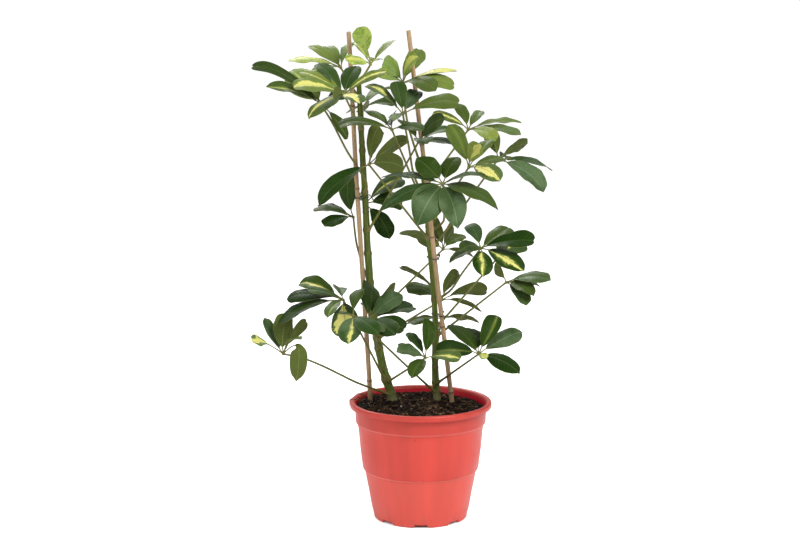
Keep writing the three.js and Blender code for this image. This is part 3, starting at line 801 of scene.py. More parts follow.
def floor_material():
    """White, and lit up for the camera, but for the part of it that lies under the pot."""
    material, tree = new_material("studio_floor")
    tone, _ = mottling(tree, 2, 60, 0.01)
    seen = added(tree, "LightPath", output="Is Camera Ray")
    distance = added(tree, "VectorMath", {0: object_places(tree)}, "Value", operation="LENGTH")
    return surfaced(
        material, Base_Color=toned((0.86, 0.86, 0.86), tone), Roughness=0.9, Specular_IOR_Level=0.0,
        Emission_Color=(1, 1, 1), Emission_Strength=seen * stepped(distance, 0.052, 0.064) * 0.60)


# ---- the stage ----
# each light's place, width and share of the key light's power
LIGHTS = {
    "key_light": ((1.3, -1.5, 2.1), 1.3, 1.0),
    "fill_light": ((-1.7, -1.3, 1.3), 1.6, 0.3),
    "back_light": ((-0.5, 1.8, 1.9), 1.2, 0.45),
}
LIT_PLACE = Vector((0, 0, 0.35))  # what all the lights point at
FLOOR_RADIUS = 80
FLOOR_DROP = 0.0004  # how far below the pot's foot the floor lies
CAMERA_PLACE = (-0.0277, -2.5, 0.75)
CAMERA_DIP = 9.51  # how far below the level the camera looks, in degrees
CAMERA_LENS = 86.06


def studio_surround(brightness):
    """A white surround that lights the plant more from above than from the sides."""
    world = bpy.data.worlds.new("studio_surround")
    world.use_nodes = True
    tree = world.node_tree
    upward = axes_of(added(tree, "TexCoord", output="Generated"))[2]
    light = scaled(upward, 0.0, 1.0, brightness * 0.22, brightness * 0.66)
    seen = added(tree, "LightPath", output="Is Camera Ray")
    strength = added(tree, "Mix", {"Factor": seen, "A": light, "B": 1.1}, data_type="FLOAT")
    background = tree.nodes["Background"].inputs
    put(tree, background["Strength"], strength)
    put(tree, background["Color"], (1, 1, 1))
    return world


class PLANT_OT_stage(Operator):
    """Lays the pale floor, hangs the soft lights and sets the camera"""
    bl_idname = "umbrella_plant.stage"
    bl_label = "Stage"

    def execute(self, context):
        settings = context.scene.umbrella_stage
        deselect_all()
        bpy.ops.mesh.primitive_circle_add(
            vertices=96, radius=FLOOR_RADIUS, fill_type="NGON", location=(0, 0, -FLOOR_DROP))
        floor = newly_added("studio_floor")
        edit(floor, everything=True)
        bpy.ops.mesh.inset(thickness=0.75 * FLOOR_RADIUS)
        leave_edit()
        put_material(floor, floor_material())

        context.scene.world = studio_surround(settings.brightness)
        context.scene.view_settings.view_transform = "Standard"

        for name, (place, size, share) in LIGHTS.items():
            bpy.ops.object.light_add(type="AREA", location=place)
            light = context.object
            light.name = name
            light.data.size = size
            light.data.energy = settings.key * share
            light.rotation_euler = (LIT_PLACE - Vector(place)).to_track_quat("-Z", "Y").to_euler()

        bpy.ops.object.camera_add(location=CAMERA_PLACE, rotation=(math.radians(90 - CAMERA_DIP), 0, 0))
        camera = context.object
        camera.name = "front_camera"
        camera.data.sensor_width = 36
        camera.data.lens = CAMERA_LENS
        context.scene.camera = camera
        return {"FINISHED"}


# ---- the pot ----
WALL = 0.0025
FOOT_RADIUS = 0.061
HALF_NOTCH = 0.0100


def pot_profile(settings):
    """The pot's section from the middle of its floor under the foot, up the wall, over the rim and back."""
    _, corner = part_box("pot")
    rim, top = corner.x, corner.z
    ledge, body, collar = rim - 0.0203, rim - 0.0103, rim - 0.0077
    low, high = settings.ledge_height, settings.collar_height
    floor = settings.foot_height
    foot = FOOT_RADIUS
    return [
        (0.004, floor), (foot - 0.007, floor), (foot - 0.006, floor - 0.0008), (foot - 0.006, 0.0006),
        (foot - 0.0052, 0.0), *arc(foot - 0.0002, 0.0022, 0.0022, -90, 0, 6),
        # up the outside
        (foot + 0.0026, 0.006), (foot + 0.0046, 0.014), (foot + 0.0092, 0.040),
        (ledge - 0.0004, low - 0.0045), (ledge, low - 0.0018),
        *arc(ledge + 0.0022, low + 0.0006, 0.0014, 180, 90, 4)[:-1],
        (ledge + 0.0026, low + 0.0024), (ledge + 0.0034, low + 0.0050),
        (body - 0.0034, high - 0.034), (body - 0.0014, high - 0.0110),
        (body - 0.0002, high - 0.0040), (body + 0.0008, high - 0.0012),
        *arc(collar - 0.0012, high + 0.0012, 0.0012, -90, 0, 4),
        (collar + 0.0002, top - 0.022), (collar + 0.0008, top - 0.0092),
        # over the rim bead
        *arc(rim - 0.0018, top - 0.0062, 0.0018, -100, 0, 6),
        *arc(rim - 0.0026, top - 0.0026, 0.0026, 0, 90, 7),
        (rim - 0.0050, top - 0.0001), (rim - 0.0066, top - 0.0010), (rim - 0.0082, top - 0.0042),
        # down the inside and over the floor
        (collar - WALL + 0.0004, top - 0.014), (collar - WALL - 0.0008, high + 0.001),
        (body - WALL, high - 0.004), (ledge + 0.001, low + 0.002), (ledge - WALL, low - 0.004),
        (foot, floor + 0.006), (foot - 0.004, floor + WALL), (0.004, floor + WALL)]


class PLANT_OT_pot(Operator):
    """Turns the pot with its stepped wall, rim bead and notched foot"""
    bl_idname = "umbrella_plant.pot"
    bl_label = "Pot"

    def execute(self, context):
        settings = context.scene.umbrella_pot
        pot = turned("plastic_pot", pot_profile(settings), settings.sides)
        edit(pot)
        for index in range(settings.notches):
            angle = 2 * math.pi * index / settings.notches
            outward = Vector((math.sin(angle), -math.cos(angle), 0))
            beside = Vector((math.cos(angle), math.sin(angle), 0))

            def in_notch(co):
                under = co.z < settings.foot_height - 0.001
                return under and co.dot(outward) > 0.03 and abs(co.dot(beside)) < HALF_NOTCH

            pick(pot, in_notch)
            bpy.ops.transform.resize(value=(1, 1, 0.0), center_override=(0, 0, settings.foot_height - 0.0003))
        leave_edit()
        smooth_shaded(pot, 35)
        put_material(pot, pot_plastic(settings))
        finished(pot, "pot", "pot")
        return {"FINISHED"}


# ---- the compost ----
SOIL_LOW, SOIL_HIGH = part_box("soil")
SOIL_RADIUS = SOIL_HIGH.x
SOIL_EDGE = SOIL_HIGH.z + 0.001  # height of the compost beside the pot's wall
# what lies loose on it: the stretch of each kind of lump, their first seed, the depth of their dents, how
# clear of the wall they stay, their smallest and largest size, and how high they lie as a share of it
LOOSE = {
    "compost_crumbs": (((1, 0.8, 0.7), (1.2, 0.7, 0.55), (0.9, 1, 0.8), (1.3, 0.9, 0.5)),
                       0, 0.45, 0.003, (0.0007, 0.0026), 0.25),
    "bark_chips": (((1.7, 0.6, 0.28), (1.4, 0.8, 0.22), (2.0, 0.42, 0.3)),
                   20, 0.3, 0.006, (0.0014, 0.0036), 0.45),
    "perlite_grains": (((1, 1, 1), (1, 1, 1)),
                       40, 0.25, 0.005, (0.0005, 0.0014), 0.6),
}
# how clear the loose lumps stay of what stands in the compost
CLEARANCES = {"left_cane": 0.004, "right_cane": 0.004, "left_stem": 0.007, "right_stem": 0.006}


def compost_top(x, y):
    """Height of the compost: an even mound, heaped up to the left, with broad rises and clods."""
    share = math.hypot(x, y) / SOIL_RADIUS
    mound = SOIL_EDGE + 0.003 * (1 - share ** 2) + 0.002 * share ** 6
    broad = noise.noise(Vector((x * 28, y * 28, 3.1))) * 0.0024
    clods = noise.fractal(Vector((x * 130, y * 130, 7.7)), 0.9, 2.1, 4) * 0.0022
    heap = 1.9 * max(0.0, -x - 0.038) ** 2
    return mound + broad + clods + heap - 0.018 * x


def compost_mass():
    rings = 44
    profile = [(0.050, SOIL_LOW.z), (0.056, 0.012), (0.069, 0.058), (0.0725, 0.067), (0.079, 0.122),
               (SOIL_RADIUS, SOIL_EDGE - 0.004), (SOIL_RADIUS, SOIL_EDGE)]
    profile += [(SOIL_RADIUS * (1 - step / rings), SOIL_EDGE) for step in range(1, rings)]
    mass = turned("compost", profile, 160)
    places = places_of(mass)
    for place in places:
        if place[2] > SOIL_EDGE - 0.001:
            place[2] = compost_top(place[0], place[1])
    put_places(mass, places)
    smooth_shaded(mass, 60)
    return mass


def lump(name, seed, dents, stretch):
    """One crumb: a small ball, dented at its corners."""
    deselect_all()
    bpy.ops.mesh.primitive_ico_sphere_add(subdivisions=1, radius=1)
    piece = newly_added(name)
    edit(piece, everything=True)
    bpy.ops.transform.resize(value=stretch, center_override=(0, 0, 0))
    bpy.ops.transform.vertex_random(offset=dents, uniform=1.0, seed=seed)
    leave_edit()
    return piece


def scattered(name, patterns, places):
    """One piece out of many copies of the patterns, each at its own place, turn and size."""
    mesh = bmesh.new()
    for index, place in enumerate(places):
        first = len(mesh.verts)
        mesh.from_mesh(patterns[index % len(patterns)].data)
        mesh.verts.ensure_lookup_table()
        bmesh.ops.transform(mesh, matrix=place, verts=mesh.verts[first:])
    data = bpy.data.meshes.new(name)
    mesh.to_mesh(data)
    mesh.free()
    piece = bpy.data.objects.new(name, data)
    bpy.context.scene.collection.objects.link(piece)
    return piece


def compost_places(chance, count, radius, sizes, lift, keep_off):
    """Random places on the compost, clear of what stands in it."""
    places = []
    while len(places) < count:
        distance = radius * math.sqrt(chance.random())
        angle = chance.uniform(0, 2 * math.pi)
        x, y = distance * math.cos(angle), distance * math.sin(angle)
        size = chance.uniform(*sizes)
        if any(math.hypot(x - foot[0], y - foot[1]) < clear for foot, clear in keep_off):
            continue
        turn = Matrix.Rotation(chance.uniform(0, 6.28), 4, "Z")
        tilt = Matrix.Rotation(chance.uniform(-0.5, 0.5), 4, "X")
        place = Matrix.Translation((x, y, compost_top(x, y) + lift * size))
        places.append(place @ turn @ tilt @ Matrix.Scale(size, 4))
    return places


def loose_lumps(chance, name, count, keep_off):
    """One piece of many crumbs, chips or grains."""
    stretches, first_seed, dents, clear, sizes, lift = LOOSE[name]
    lumps = [lump(f"{name}_{index}", first_seed + index, dents, stretch)
             for index, stretch in enumerate(stretches)]
    piece = scattered(name, lumps, compost_places(chance, count, SOIL_RADIUS - clear, sizes, lift, keep_off))
    removed(lumps)
    return piece


def fibre_line(chance, lift):
    """A short wandering line over the compost, arched up by as much as the lift."""
    angle = chance.uniform(0, 2 * math.pi)
    distance = SOIL_RADIUS * math.sqrt(chance.random()) * 0.9
    heading = chance.uniform(0, 2 * math.pi)
    length = chance.uniform(0.008, 0.024)
    x, y = distance * math.cos(angle), distance * math.sin(angle)
    line = []
    for step in range(5):
        x += math.cos(heading) * length / 4
        y += math.sin(heading) * length / 4
        heading += chance.uniform(-0.6, 0.6)
        if math.hypot(x, y) > SOIL_RADIUS - 0.004:
            heading += math.pi / 2
            x, y = x * 0.94, y * 0.94
        rise = 0.0011 + lift * math.sin(step / 4 * math.pi) * chance.random()
        line.append((x, y, compost_top(x, y) + rise))
    return line


def root_line(heading, drop):
    """A root that leaves the compost, crosses the rim and hangs down outside it by the drop."""
    _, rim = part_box("pot")
    line = []
    for out, height in ((SOIL_RADIUS - 0.012, SOIL_EDGE + 0.003), (SOIL_RADIUS - 0.001, rim.z - 0.001),
                        (rim.x - 0.004, rim.z + 0.0018), (rim.x + 0.0010, rim.z - 0.0008),
                        (rim.x + 0.0035, rim.z - 0.003 - drop)):
        line.append((out * math.cos(heading), out * math.sin(heading), height))
        heading += 0.03
    return line


def root_fibres(chance, count):
    """Fine roots on the compost, and four thicker ones over the left side of the rim."""
    fine = turned("fine_root", [(0.00022, 0), (0.0003, 0.3), (0.00026, 0.7), (0.00012, 1)], 5)
    thick = turned("thick_root", [(0.0003, 0), (0.00055, 0.3), (0.0005, 0.7), (0.0002, 1)], 6)
    roots = []
    for index in range(count):
        line = fibre_line(chance, 0.0095 if index % 9 == 0 else 0.0018)
        roots.append(laid_along(copy_of(fine, f"fine_root_{index}"), line, steps=12))
    for index, drop in enumerate((0.006, 0.012, 0.003, -0.012)):
        line = root_line(math.pi - 0.30 + 0.18 * (1 - index), drop)
        roots.append(laid_along(copy_of(thick, f"thick_root_{index}"), line, steps=20))
    removed([fine, thick])
    return joined(roots, "root_fibres")


class PLANT_OT_soil(Operator):
    """Heaps the compost: a clodded mound, crumbs, bark chips, perlite and root fibres"""
    bl_idname = "umbrella_plant.soil"
    bl_label = "Compost"

    def execute(self, context):
        settings = context.scene.umbrella_soil
        mass = compost_mass()
        put_material(mass, compost_material("compost_earth", (0.008, 0.004, 0.0025), (0.030, 0.016, 0.008)))
        finished(mass, "soil", "soil")

        chance = random.Random(11)
        keep_off = [(place_at_height(name, SOIL_EDGE), clear) for name, clear in CLEARANCES.items()]
        for piece, material in (
                (loose_lumps(chance, "compost_crumbs", settings.crumbs, keep_off),
                 compost_material("crumb_earth", (0.008, 0.004, 0.0025), (0.11, 0.060, 0.030))),
                (loose_lumps(chance, "bark_chips", settings.chips, keep_off),
                 compost_material("bark", (0.030, 0.014, 0.007), (0.28, 0.16, 0.080))),
                (loose_lumps(chance, "perlite_grains", settings.grains, keep_off), perlite_material()),
                (root_fibres(chance, settings.fibres),
                 compost_material("fibre", (0.14, 0.08, 0.04), (0.50, 0.36, 0.20)))):
            put_material(piece, material)
            finished(piece, "soil")
        return {"FINISHED"}


# ---- the canes and stems ----
CANE_JOINTS = {"left": (0.105, 0.232, 0.368, 0.478), "right": (0.09, 0.182, 0.305, 0.43)}
SWAY_SEED = 7  # of the canes' slight bends
STEM_RADII = {"left": (0.0062, 0.0032), "right": (0.0052, 0.0026)}  # at the foot and at the top
OLD_RING_STEP = 0.031  # between the faint rings of leaves that have dropped


def ringed_profile(length, radius_at, rings, marks):
    """A long tube's section: even rings, and closer ones at each mark."""
    heights = set(np.linspace(0, length, rings).round(5))
    for mark in marks:
        for offset in (-0.006, -0.0035, -0.002, -0.001, 0, 0.001, 0.002, 0.0035, 0.006):
            if 0 < mark + offset < length:
                heights.add(round(mark + offset, 5))
    return [(radius_at(height), height) for height in sorted(heights)]


def nearness(heights, marks, width):
    """1 at each mark, and down to 0 at about twice the width from it."""
    return sum(np.exp(-((heights - mark) / width) ** 2) for mark in marks)


class PLANT_OT_canes(Operator):
    """Raises the two bamboo canes with their joints and cut hollow tops"""
    bl_idname = "umbrella_plant.canes"
    bl_label = "Canes"

    def execute(self, context):
        settings = context.scene.umbrella_cane
        material = cane_bamboo(settings)
        noise.seed_set(SWAY_SEED)
        for side in SIDES:
            name = side + "_cane"
            line = upright_line(name)
            length = float(np.linalg.norm(line[-1] - line[0]))
            marks = CANE_JOINTS[side]

            def radius_at(height):
                swelling = 0.00055 * nearness(height, marks, 0.0016)
                waist = 0.00025 * nearness(height - 0.005, marks, 0.003)
                return 0.0033 - 0.0004 * height / length + swelling - waist

            profile = ringed_profile(length, radius_at, 60, marks)
            end = profile[-1][0]
            profile += [
                (end - 0.0004, length + 0.0002), (end - 0.0012, length), (end - 0.0014, length - 0.006)]
            cane = turned(name + "_bamboo", profile, settings.sides)
            places = places_of(cane)
            heights = places[:, 2]
            in_hollow = (heights < length - 0.004) * (np.arange(len(heights)) > len(heights) - 60)
            put_number(cane, "joint", np.clip(np.maximum(nearness(heights, marks, 0.0012), in_hollow), 0, 1))
            for place in places:
                sway = noise.noise_vector(Vector((0, 0, place[2] * 7 + len(name)))) * 0.0012
                place[0] += sway.x
                place[1] += sway.y
            put_places(cane, places)
            laid_along(cane, line)
            smooth_shaded(cane, 50)
            put_material(cane, material)
            finished(cane, "cane", name)
        return {"FINISHED"}


def leaf_starts(side):
    """Heights on a stem where its leaves' stalks leave it."""
    return sorted(float(LEAF_FORMS[name]["stalk"][0][2]) for name in LEAVES if name.startswith(side))


class PLANT_OT_stems(Operator):
    """Grows the two stems with a swollen ring and a scar at each leaf"""
    bl_idname = "umbrella_plant.stems"
    bl_label = "Stems"

    def execute(self, context):
        settings = context.scene.umbrella_stem
        material = stem_skin(settings)
        for side in SIDES:
            name = side + "_stem"
            foot_radius, top_radius = STEM_RADII[side]
            line = upright_line(name)
            smooth, length = smooth_line(line, 400)
            reach = np.linspace(0, length, 401)
            marks = [float(np.interp(height, smooth[:, 2], reach)) for height in leaf_starts(side)]
            old = [ring for ring in np.arange(0.045, length, OLD_RING_STEP)
                   if min(abs(ring - mark) for mark in marks) > 0.010]

            def radius_at(height):
                even = foot_radius + (top_radius - foot_radius) * height / length
                rings = nearness(height, marks, 0.0030) + 0.4 * nearness(height, old, 0.0014)
                return even + settings.swelling * rings + 0.0022 * max(0.0, 1 - height / 0.05) ** 2

            profile = ringed_profile(length - 0.002, radius_at, 90, marks + old)
            end = profile[-1][0]
            profile += [(end * 0.92, length - 0.001), (end * 0.6, length)]
            stem = turned(name + "_skin", profile, settings.sides)
            places = places_of(stem)
            put_number(stem, "joint", np.clip(nearness(places[:, 2] - 0.002, marks + old, 0.0011), 0, 1))
            for place in places:
                out = Vector((place[0], place[1], 0)).normalized()
                swell = noise.noise(Vector((out.x * 1.5, out.y * 1.5, place[2] * 40))) * 0.0004
                place[0] += out.x * swell
                place[1] += out.y * swell
            put_places(stem, places)
            laid_along(stem, line)
            smooth_shaded(stem, 60)
            put_material(stem, material)
            finished(stem, "stem", name)
        return {"FINISHED"}


# ---- the ties ----
TWIST_LENGTH = 0.0042  # along a tie, for half a turn of its two strands


def tie_route(cane_place, stem_place):
    """The line of a tie: once round a cane and a stem, and out in a short tail."""
    apart = stem_place - cane_place
    turn = math.atan2(apart[1], apart[0])
    long_way = math.hypot(apart[0], apart[1]) / 2 + 0.0052
    short_way = 0.0066
    angles = np.linspace(-0.5 * math.pi, 1.5 * math.pi, 73)
    loop = [long_way * np.cos(angles), short_way * np.sin(angles), 0.0012 * np.sin(angles * 0.5 + 0.8)]
    reach = np.arange(1, 15) / 14
    tail = [0.011 * reach, -short_way - 0.004 * reach - 0.003 * np.sin(reach * 3),
            0.0012 + 0.0035 * np.sin(reach * 4.5)]
    spin = np.array([[math.cos(turn), -math.sin(turn), 0], [math.sin(turn), math.cos(turn), 0], [0, 0, 1]])
    return np.hstack([loop, tail]).T @ spin.T + (cane_place + stem_place) / 2


class PLANT_OT_ties(Operator):
    """Twists a two-strand wire tie round each cane and stem"""
    bl_idname = "umbrella_plant.ties"
    bl_label = "Ties"

    def execute(self, context):
        settings = context.scene.umbrella_tie
        material = tie_wire()
        strand = turned("strand", [(settings.wire, step / 160) for step in range(161)], 8)
        for side in SIDES:
            for name in (side + "_tie_low", side + "_tie_high"):
                low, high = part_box(name)
                height = (low.z + high.z) / 2
                route = tie_route(
                    place_at_height(side + "_cane", height), place_at_height(side + "_stem", height))
                line, length = smooth_line(route, 220)
                across, upward = square_directions(line)
                angles = np.linspace(0, length / TWIST_LENGTH * math.pi, len(line))[:, None]
                strands = []
                for number, phase in enumerate((0, math.pi)):
                    offset = across * np.cos(angles + phase) + upward * np.sin(angles + phase)
                    path = line + offset * settings.wire * 0.95
                    strands.append(laid_along(copy_of(strand, f"{name}_strand_{number}"), path, steps=320))
                tie = joined(strands, name + "_wire")
                smooth_shaded(tie, 60)
                put_material(tie, material)
                finished(tie, "tie", name)
        removed([strand])
        return {"FINISHED"}


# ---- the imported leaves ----
RING_PLACES = (0.89, 0.67, 0.42, 0.2)  # of a packed leaflet's rings on its middle line, from the tip inwards
KNOT_RADIUS = 0.0048
BLADE_START = 0.17  # where on a leaflet's middle line its blade begins
BLADE_THICKNESS = 0.00045
FRONT = np.array([0.0, -0.986, 0.165])  # level towards the front, and a little up


def leaflet_rings(tip, neighbours):
    """The four-cornered rings behind a leaflet's tip, from the tip towards the leaf's knot."""
    rings = []
    seen = {tip}
    ring = neighbours[tip]
    while len(ring) == 4 and all(len(neighbours[corner] & ring) == 2 for corner in ring):
        rings.append(ring)
        seen |= ring
        ring = set().union(*(neighbours[corner] for corner in ring)) - seen
    return rings


def ring_shape(ring, corners, neighbours):
    """A ring's middle, the line across it, and how its sides lie over its middle."""
    pairs = [(a, b) for a in ring for b in ring if a < b and b not in neighbours[a]]
    if len(pairs) != 2:
        pairs += [(a, b) for a in ring for b in ring if a < b]
    pairs.sort(key=lambda pair: np.linalg.norm(corners[pair[0]] - corners[pair[1]]))
    (top, bottom), (left, right) = pairs[0], pairs[-1]
    middle = (corners[top] + corners[bottom]) / 2
    return middle, corners[right] - corners[left], (corners[left] + corners[right]) / 2 - middle


def clock_place(leaflet):
    """Where a leaflet points, in degrees clockwise from the lower left, seen from the front and above."""
    x, y, z = leaflet["tip"] - leaflet["knot"]
    above = math.radians(35)
    return (math.degrees(math.atan2(z * math.cos(above) + y * math.sin(above), -x)) + 60) % 360


def leaf_form(name):
    """A packed leaf's knot, stalk line and leaflets. A leaflet's middle line is a curve of second degree from
    the knot, place(s) = knot + lead * s + bend * s * s, and runs from s = 0 to its tip at s = 1."""
    corners, neighbours = merged_corners(name)
    leaflets = []
    used = set()
    for tip in range(len(corners)):
        rings = leaflet_rings(tip, neighbours)
        if len(rings) < len(RING_PLACES):
            continue
        used |= {tip}.union(*rings)
        shapes = [ring_shape(ring, corners, neighbours) for ring in rings[:len(RING_PLACES)]]
        terms = np.vander((1.0, *RING_PLACES), 3, increasing=True)
        middles = np.array([corners[tip], *(middle for middle, _, _ in shapes)])
        knot, lead, bend = np.linalg.lstsq(terms, middles, rcond=None)[0]
        _, across, raised = shapes[1]
        leaflets.append({"knot": knot, "lead": lead, "bend": bend, "up": unit(raised), "tip": corners[tip],
                         "half_width": float(np.linalg.norm(across)) / 2})
    leaflets.sort(key=clock_place)
    knot = np.mean([leaflet["knot"] for leaflet in leaflets], axis=0)
    rest = [index for index in range(len(corners)) if index not in used]
    stalk = np.array([corner for corner in corners[rest] if np.linalg.norm(corner - knot) > KNOT_RADIUS])
    middles = ring_middles(stalk, np.linalg.norm(stalk - knot, axis=1))
    return {"knot": knot, "stalk": np.array([*middles[::-1], knot]), "leaflets": leaflets}


LEAF_FORMS = {name: leaf_form(name) for name in LEAVES}


# ---- the blades ----
def blade_width(along, full, blunt):
    """Half-width of a blade at a place along it, where 1 is its broadest."""
    if along <= 0 or along >= 1:
        return 0.0
    peak = full / (full + blunt)
    return (along ** full * (1 - along) ** blunt) / (peak ** full * (1 - peak) ** blunt)


def blade_pattern(name, full, blunt, notch):
    """A flat blade, one unit long and one each side of its midrib, with a closed edge and a raised rib."""
    columns, rows = 12, 26
    deselect_all()
    bpy.ops.mesh.primitive_grid_add(x_subdivisions=columns, y_subdivisions=rows, size=1, location=(0, 0.5, 0))
    blade = newly_added(name)
    edit(blade)
    spans = []
    for row in range(rows + 1):
        even = row / rows
        place = 1 - (1 - even) ** 1.35
        width = blade_width(0.012 + place * 0.980, full, blunt)
        pick(blade, lambda co: abs(co.y - even) < 0.3 / rows and abs(co.z) < 1e-6)
        bpy.ops.transform.resize(value=(2 * width, 1, 1), center_override=(0, even, 0))
        bpy.ops.transform.translate(value=(0, place - even, 1))
        spans.append((place, width))
    bpy.ops.mesh.select_all(action="SELECT")
    bpy.ops.transform.translate(value=(0, 0, -1))
    leave_edit()
    places = places_of(blade)
    across, along, _ = places.T
    widths = np.interp(along, *np.transpose(spans))
    to_edge = np.clip(across / np.maximum(widths, 1e-6), -1, 1)
    put_triple(blade, "blade_place", np.column_stack([across, along, to_edge]))

    # the tip drawn back at the midrib, and the corners of the last rows rounded off
    tipward = np.clip((along - 0.72) / 0.28, 0, 1)
    places[:, 1] -= notch * tipward ** 2 * np.exp(-(across / 0.22) ** 2) + 0.035 * tipward ** 3 * to_edge ** 2
    put_places(blade, places)
    solidify = blade.modifiers.new("thickness", "SOLIDIFY")
    solidify.thickness = BLADE_THICKNESS
    solidify.offset = -1
    pick_only(blade)
    bpy.ops.object.modifier_apply(modifier="thickness")

    # the midrib, raised more on the underside
    places = places_of(blade)
    below = places[:, 2] < -0.5 * BLADE_THICKNESS
    put_number(blade, "underside", below)
    rib = np.exp(-(places[:, 0] / 0.05) ** 2) * (1 - places[:, 1]) ** 0.7
    places[:, 2] -= np.where(below, 0.0009, 0.00025) * rib
    put_places(blade, places)
    return blade


def middle_line(leaflet, arch, shares):
    """Places on a leaflet's middle line, and its directions there. With an arch it rises higher and reaches
    wider, and still ends at its tip."""
    whole = leaflet["lead"] + leaflet["bend"]
    away = unit(whole * (1, 1, 0))
    extra = arch * float(np.linalg.norm(whole)) * (np.array([0.0, 0.0, 1.0]) + 0.75 * away)
    lead, bend = leaflet["lead"] + extra, leaflet["bend"] - extra
    places = leaflet["knot"] + np.outer(shares, lead) + np.outer(shares ** 2, bend)
    return places, unit(lead + 2 * np.outer(shares, bend))


def shaped_blade(pattern, name, leaflet, half, row, chance):
    """A copy of the flat blade on its leaflet's middle line: tilted, folded, curled, waved and twisted."""
    tilt, start = math.radians(row["tilt"]), row["start"]
    blade = copy_of(pattern, name)
    x, y, z = places_of(blade).T
    middle, tangent = middle_line(leaflet, row["arch"], start + (1 - start) * y)
    length = float(np.linalg.norm(leaflet["lead"] + leaflet["bend"]))

    # which way its upper side looks
    chord = unit(middle[y.argmax()] - middle[y.argmin()])
    ahead = unit(FRONT - chord * (FRONT @ chord))
    above = np.cross(chord, ahead)
    above *= np.sign(above[2] if abs(above[2]) > 0.25 else above @ leaflet["up"])
    upper = ahead * math.cos(tilt) + above * math.sin(tilt)
    upward = unit(upper - tangent * (tangent @ upper)[:, None])
    side = np.cross(tangent, upward)
    roll = (chance.uniform(-0.06, 0.06) + chance.uniform(-0.42, 0.42) * (y - 0.4))[:, None]
    side, upward = side * np.cos(roll) + upward * np.sin(roll), upward * np.cos(roll) - side * np.sin(roll)

    # its own fold, curl, waves, hooked tip and sideways sweep
    out = x * half
    fold = chance.uniform(0.08, 0.38)
    curl = chance.uniform(0.08, 0.34)
    wave = chance.uniform(0.02, 0.10)
    turns = chance.uniform(1.4, 2.6)
    phase = chance.uniform(0, 2 * math.pi)
    ripple = np.sin(2 * math.pi * turns * y + phase + np.where(x < 0, 2.1, 0)) * x * x
    fine = np.sin(2 * math.pi * turns * 2.7 * y + phase * 2 + np.where(x < 0, 1.1, 0)) * np.abs(x) ** 3
    rise = fold * np.abs(out) - curl * out * x + half * (wave * ripple + 0.012 * fine)
    hook = chance.uniform(0.0, 0.26) * length * np.clip(y - 0.62, 0, 1) ** 2 * 2.2
    sweep = chance.uniform(-0.13, 0.13) * length * y * (1 - y)
    sideways = (out * (1 - 0.12 * curl) + sweep)[:, None]
    put_places(blade, middle + side * sideways + upward * (rise - hook + z)[:, None])
    return blade


# ---- the leaves ----
STALK_LENGTH = 0.09  # of the straight stalk that each leaf's own is bent and stretched from
SHEATH = 0.013  # the stalk's foot, which keeps its length


def leaflet_row(values):
    """A leaflet's row with the values that it leaves out."""
    names = ("tilt", "breadth", "yellow", "arch", "start", "age", "painted_sheen")
    return dict(zip(names, (*values, *(0, BLADE_START, None, None)[len(values) - 3:])))


def straight_stalk():
    steps = 14
    middle = [(0.00155 - 0.0003 * step / steps, SHEATH + (STALK_LENGTH - 0.016) * step / steps)
              for step in range(1, steps)]
    return turned("stalk", [
        (0.0031, 0), (0.0030, 0.0015), (0.0025, 0.004), (0.0020, 0.008), (0.00175, SHEATH), *middle,
        (0.0013, STALK_LENGTH - 0.0015), (0.0019, STALK_LENGTH)], 12)


def leaf_stalk_piece(pattern, name):
    """A leaf's main stalk, from inside its stem to its knot."""
    start, *rest = LEAF_FORMS[name]["stalk"]
    root = place_at_height(name.split("_")[0] + "_stem", start[2] - 0.002)
    line = [root * 0.45 + start * 0.55, *rest]
    return laid_along(copy_of(pattern, name + "_stalk"), line, foot=SHEATH)


def knot_piece(name, seed):
    """The small dented ball where a leaf's stalks meet."""
    deselect_all()
    bpy.ops.mesh.primitive_uv_sphere_add(segments=12, ring_count=8, radius=0.0021)
    knot = newly_added(name + "_knot")
    edit(knot, everything=True)
    bpy.ops.transform.vertex_random(offset=0.00025, seed=seed)
    leave_edit()
    put_places(knot, places_of(knot) + LEAF_FORMS[name]["knot"])
    put_number(knot, "along", 1.0)
    return knot


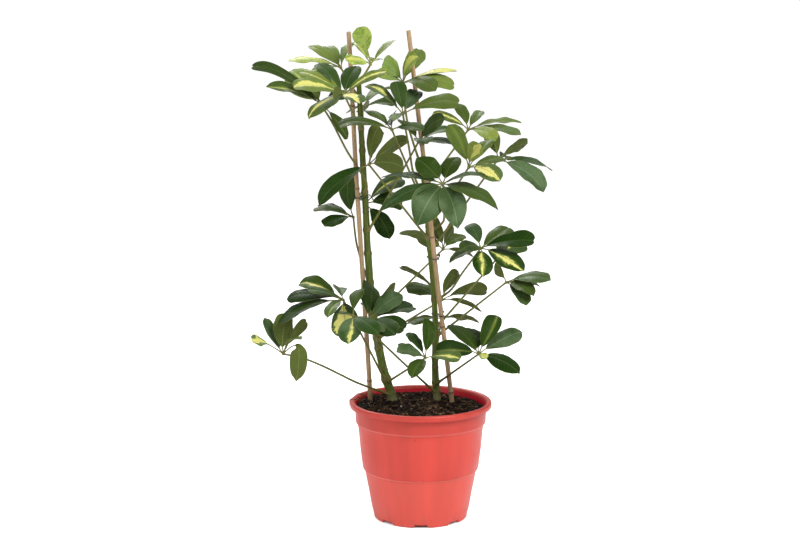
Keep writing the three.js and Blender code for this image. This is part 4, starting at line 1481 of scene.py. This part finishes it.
class PLANT_OT_leaves(Operator):
    """Grows the compound leaves: sheathed stalk, knot, and a whorl of stalked leaflets"""
    bl_idname = "umbrella_plant.leaves"
    bl_label = "Leaves"

    def execute(self, context):
        settings = context.scene.umbrella_leaf
        blade_material, stalk_material = leaf_blade(settings), leaf_stalk()
        patterns = {shape: blade_pattern(shape + "_blade", *outline)
                    for shape, outline in BLADE_SHAPES.items()}
        stalk = straight_stalk()
        short = turned("short_stalk", [
            (0.0012, 0), (0.00098, 0.1), (0.00085, 0.3), (0.0008, 0.6), (0.0008, 0.85), (0.00062, 1.0)], 8)
        for number, name in enumerate(LEAVES):
            chance = random.Random(settings.seed * 1000 + number)
            look = LEAF_LOOKS[name]
            blades = []
            stalks = [leaf_stalk_piece(stalk, name), knot_piece(name, number)]
            for index, (leaflet, values) in enumerate(
                    zip(LEAF_FORMS[name]["leaflets"], look["leaflets"], strict=True)):
                row = leaflet_row(values)
                age = look["age"] if row["age"] is None else row["age"]
                age = min(1, max(0, age + chance.uniform(-0.05, 0.07)))
                kind = (age, row["yellow"], chance.random())
                usual = chance.choice(("round", "round", "notched", "blunt"))
                pattern = patterns[look.get("blade", usual)]
                half = leaflet["half_width"] * row["breadth"] * settings.breadth
                blade = shaped_blade(pattern, f"{name}_blade_{index}", leaflet, half, row, chance)
                # each leaflet's painted sheen: a chance amount where its row gives none
                painted_sheen = 0.75 * chance.random() ** 2
                put_triple(blade, "leaflet", kind)
                put_number(blade, "painted_sheen", painted_sheen if row["painted_sheen"] is None else row["painted_sheen"])
                put_number(blade, "along", 1.0)
                put_material(blade, blade_material)
                blades.append(blade)
                line, _ = middle_line(leaflet, row["arch"], np.linspace(0.01, row["start"] + 0.05, 8))
                stalks.append(laid_along(copy_of(short, f"{name}_short_{index}"), line, steps=16))
                put_number(stalks[-1], "along", 1.0)
            for piece in stalks:
                put_triple(piece, "leaflet", (look["age"], 0, 0.5))
                put_material(piece, stalk_material)
            leaf = joined(blades + stalks, name + "_growth")
            smooth_shaded(leaf, 60)
            finished(leaf, "leaf", name)
        removed([*patterns.values(), stalk, short])
        return {"FINISHED"}


# ---- the add-on ----
OPERATORS = (PLANT_OT_stage, PLANT_OT_pot, PLANT_OT_soil, PLANT_OT_canes, PLANT_OT_stems, PLANT_OT_ties,
             PLANT_OT_leaves)


class PLANT_PT_sidebar(Panel):
    """Lists the plant's pieces in the 3D view's sidebar"""
    bl_idname = "PLANT_PT_sidebar"
    bl_label = "Umbrella Plant"
    bl_space_type = "VIEW_3D"
    bl_region_type = "UI"
    bl_category = "Umbrella Plant"

    def draw(self, context):
        for operator in OPERATORS:
            self.layout.operator(operator.bl_idname)
        for name, settings in SETTINGS.items():
            box = self.layout.box()
            box.label(text=settings.__name__.replace("Settings", ""))
            for field in settings.__annotations__:
                box.prop(getattr(context.scene, name), field)


def register():
    for name, settings in SETTINGS.items():
        bpy.utils.register_class(settings)
        setattr(bpy.types.Scene, name, PointerProperty(type=settings))
    for kind in (*OPERATORS, PLANT_PT_sidebar):
        bpy.utils.register_class(kind)


def unregister():
    for kind in reversed((*OPERATORS, PLANT_PT_sidebar)):
        bpy.utils.unregister_class(kind)
    for name, settings in reversed(SETTINGS.items()):
        delattr(bpy.types.Scene, name)
        bpy.utils.unregister_class(settings)


def main():
    register()
    bpy.ops.umbrella_plant.stage()
    bpy.ops.umbrella_plant.pot()
    bpy.ops.umbrella_plant.soil()
    bpy.ops.umbrella_plant.canes()
    bpy.ops.umbrella_plant.stems()
    bpy.ops.umbrella_plant.ties()
    bpy.ops.umbrella_plant.leaves()


if __name__ == "__main__":
    main()
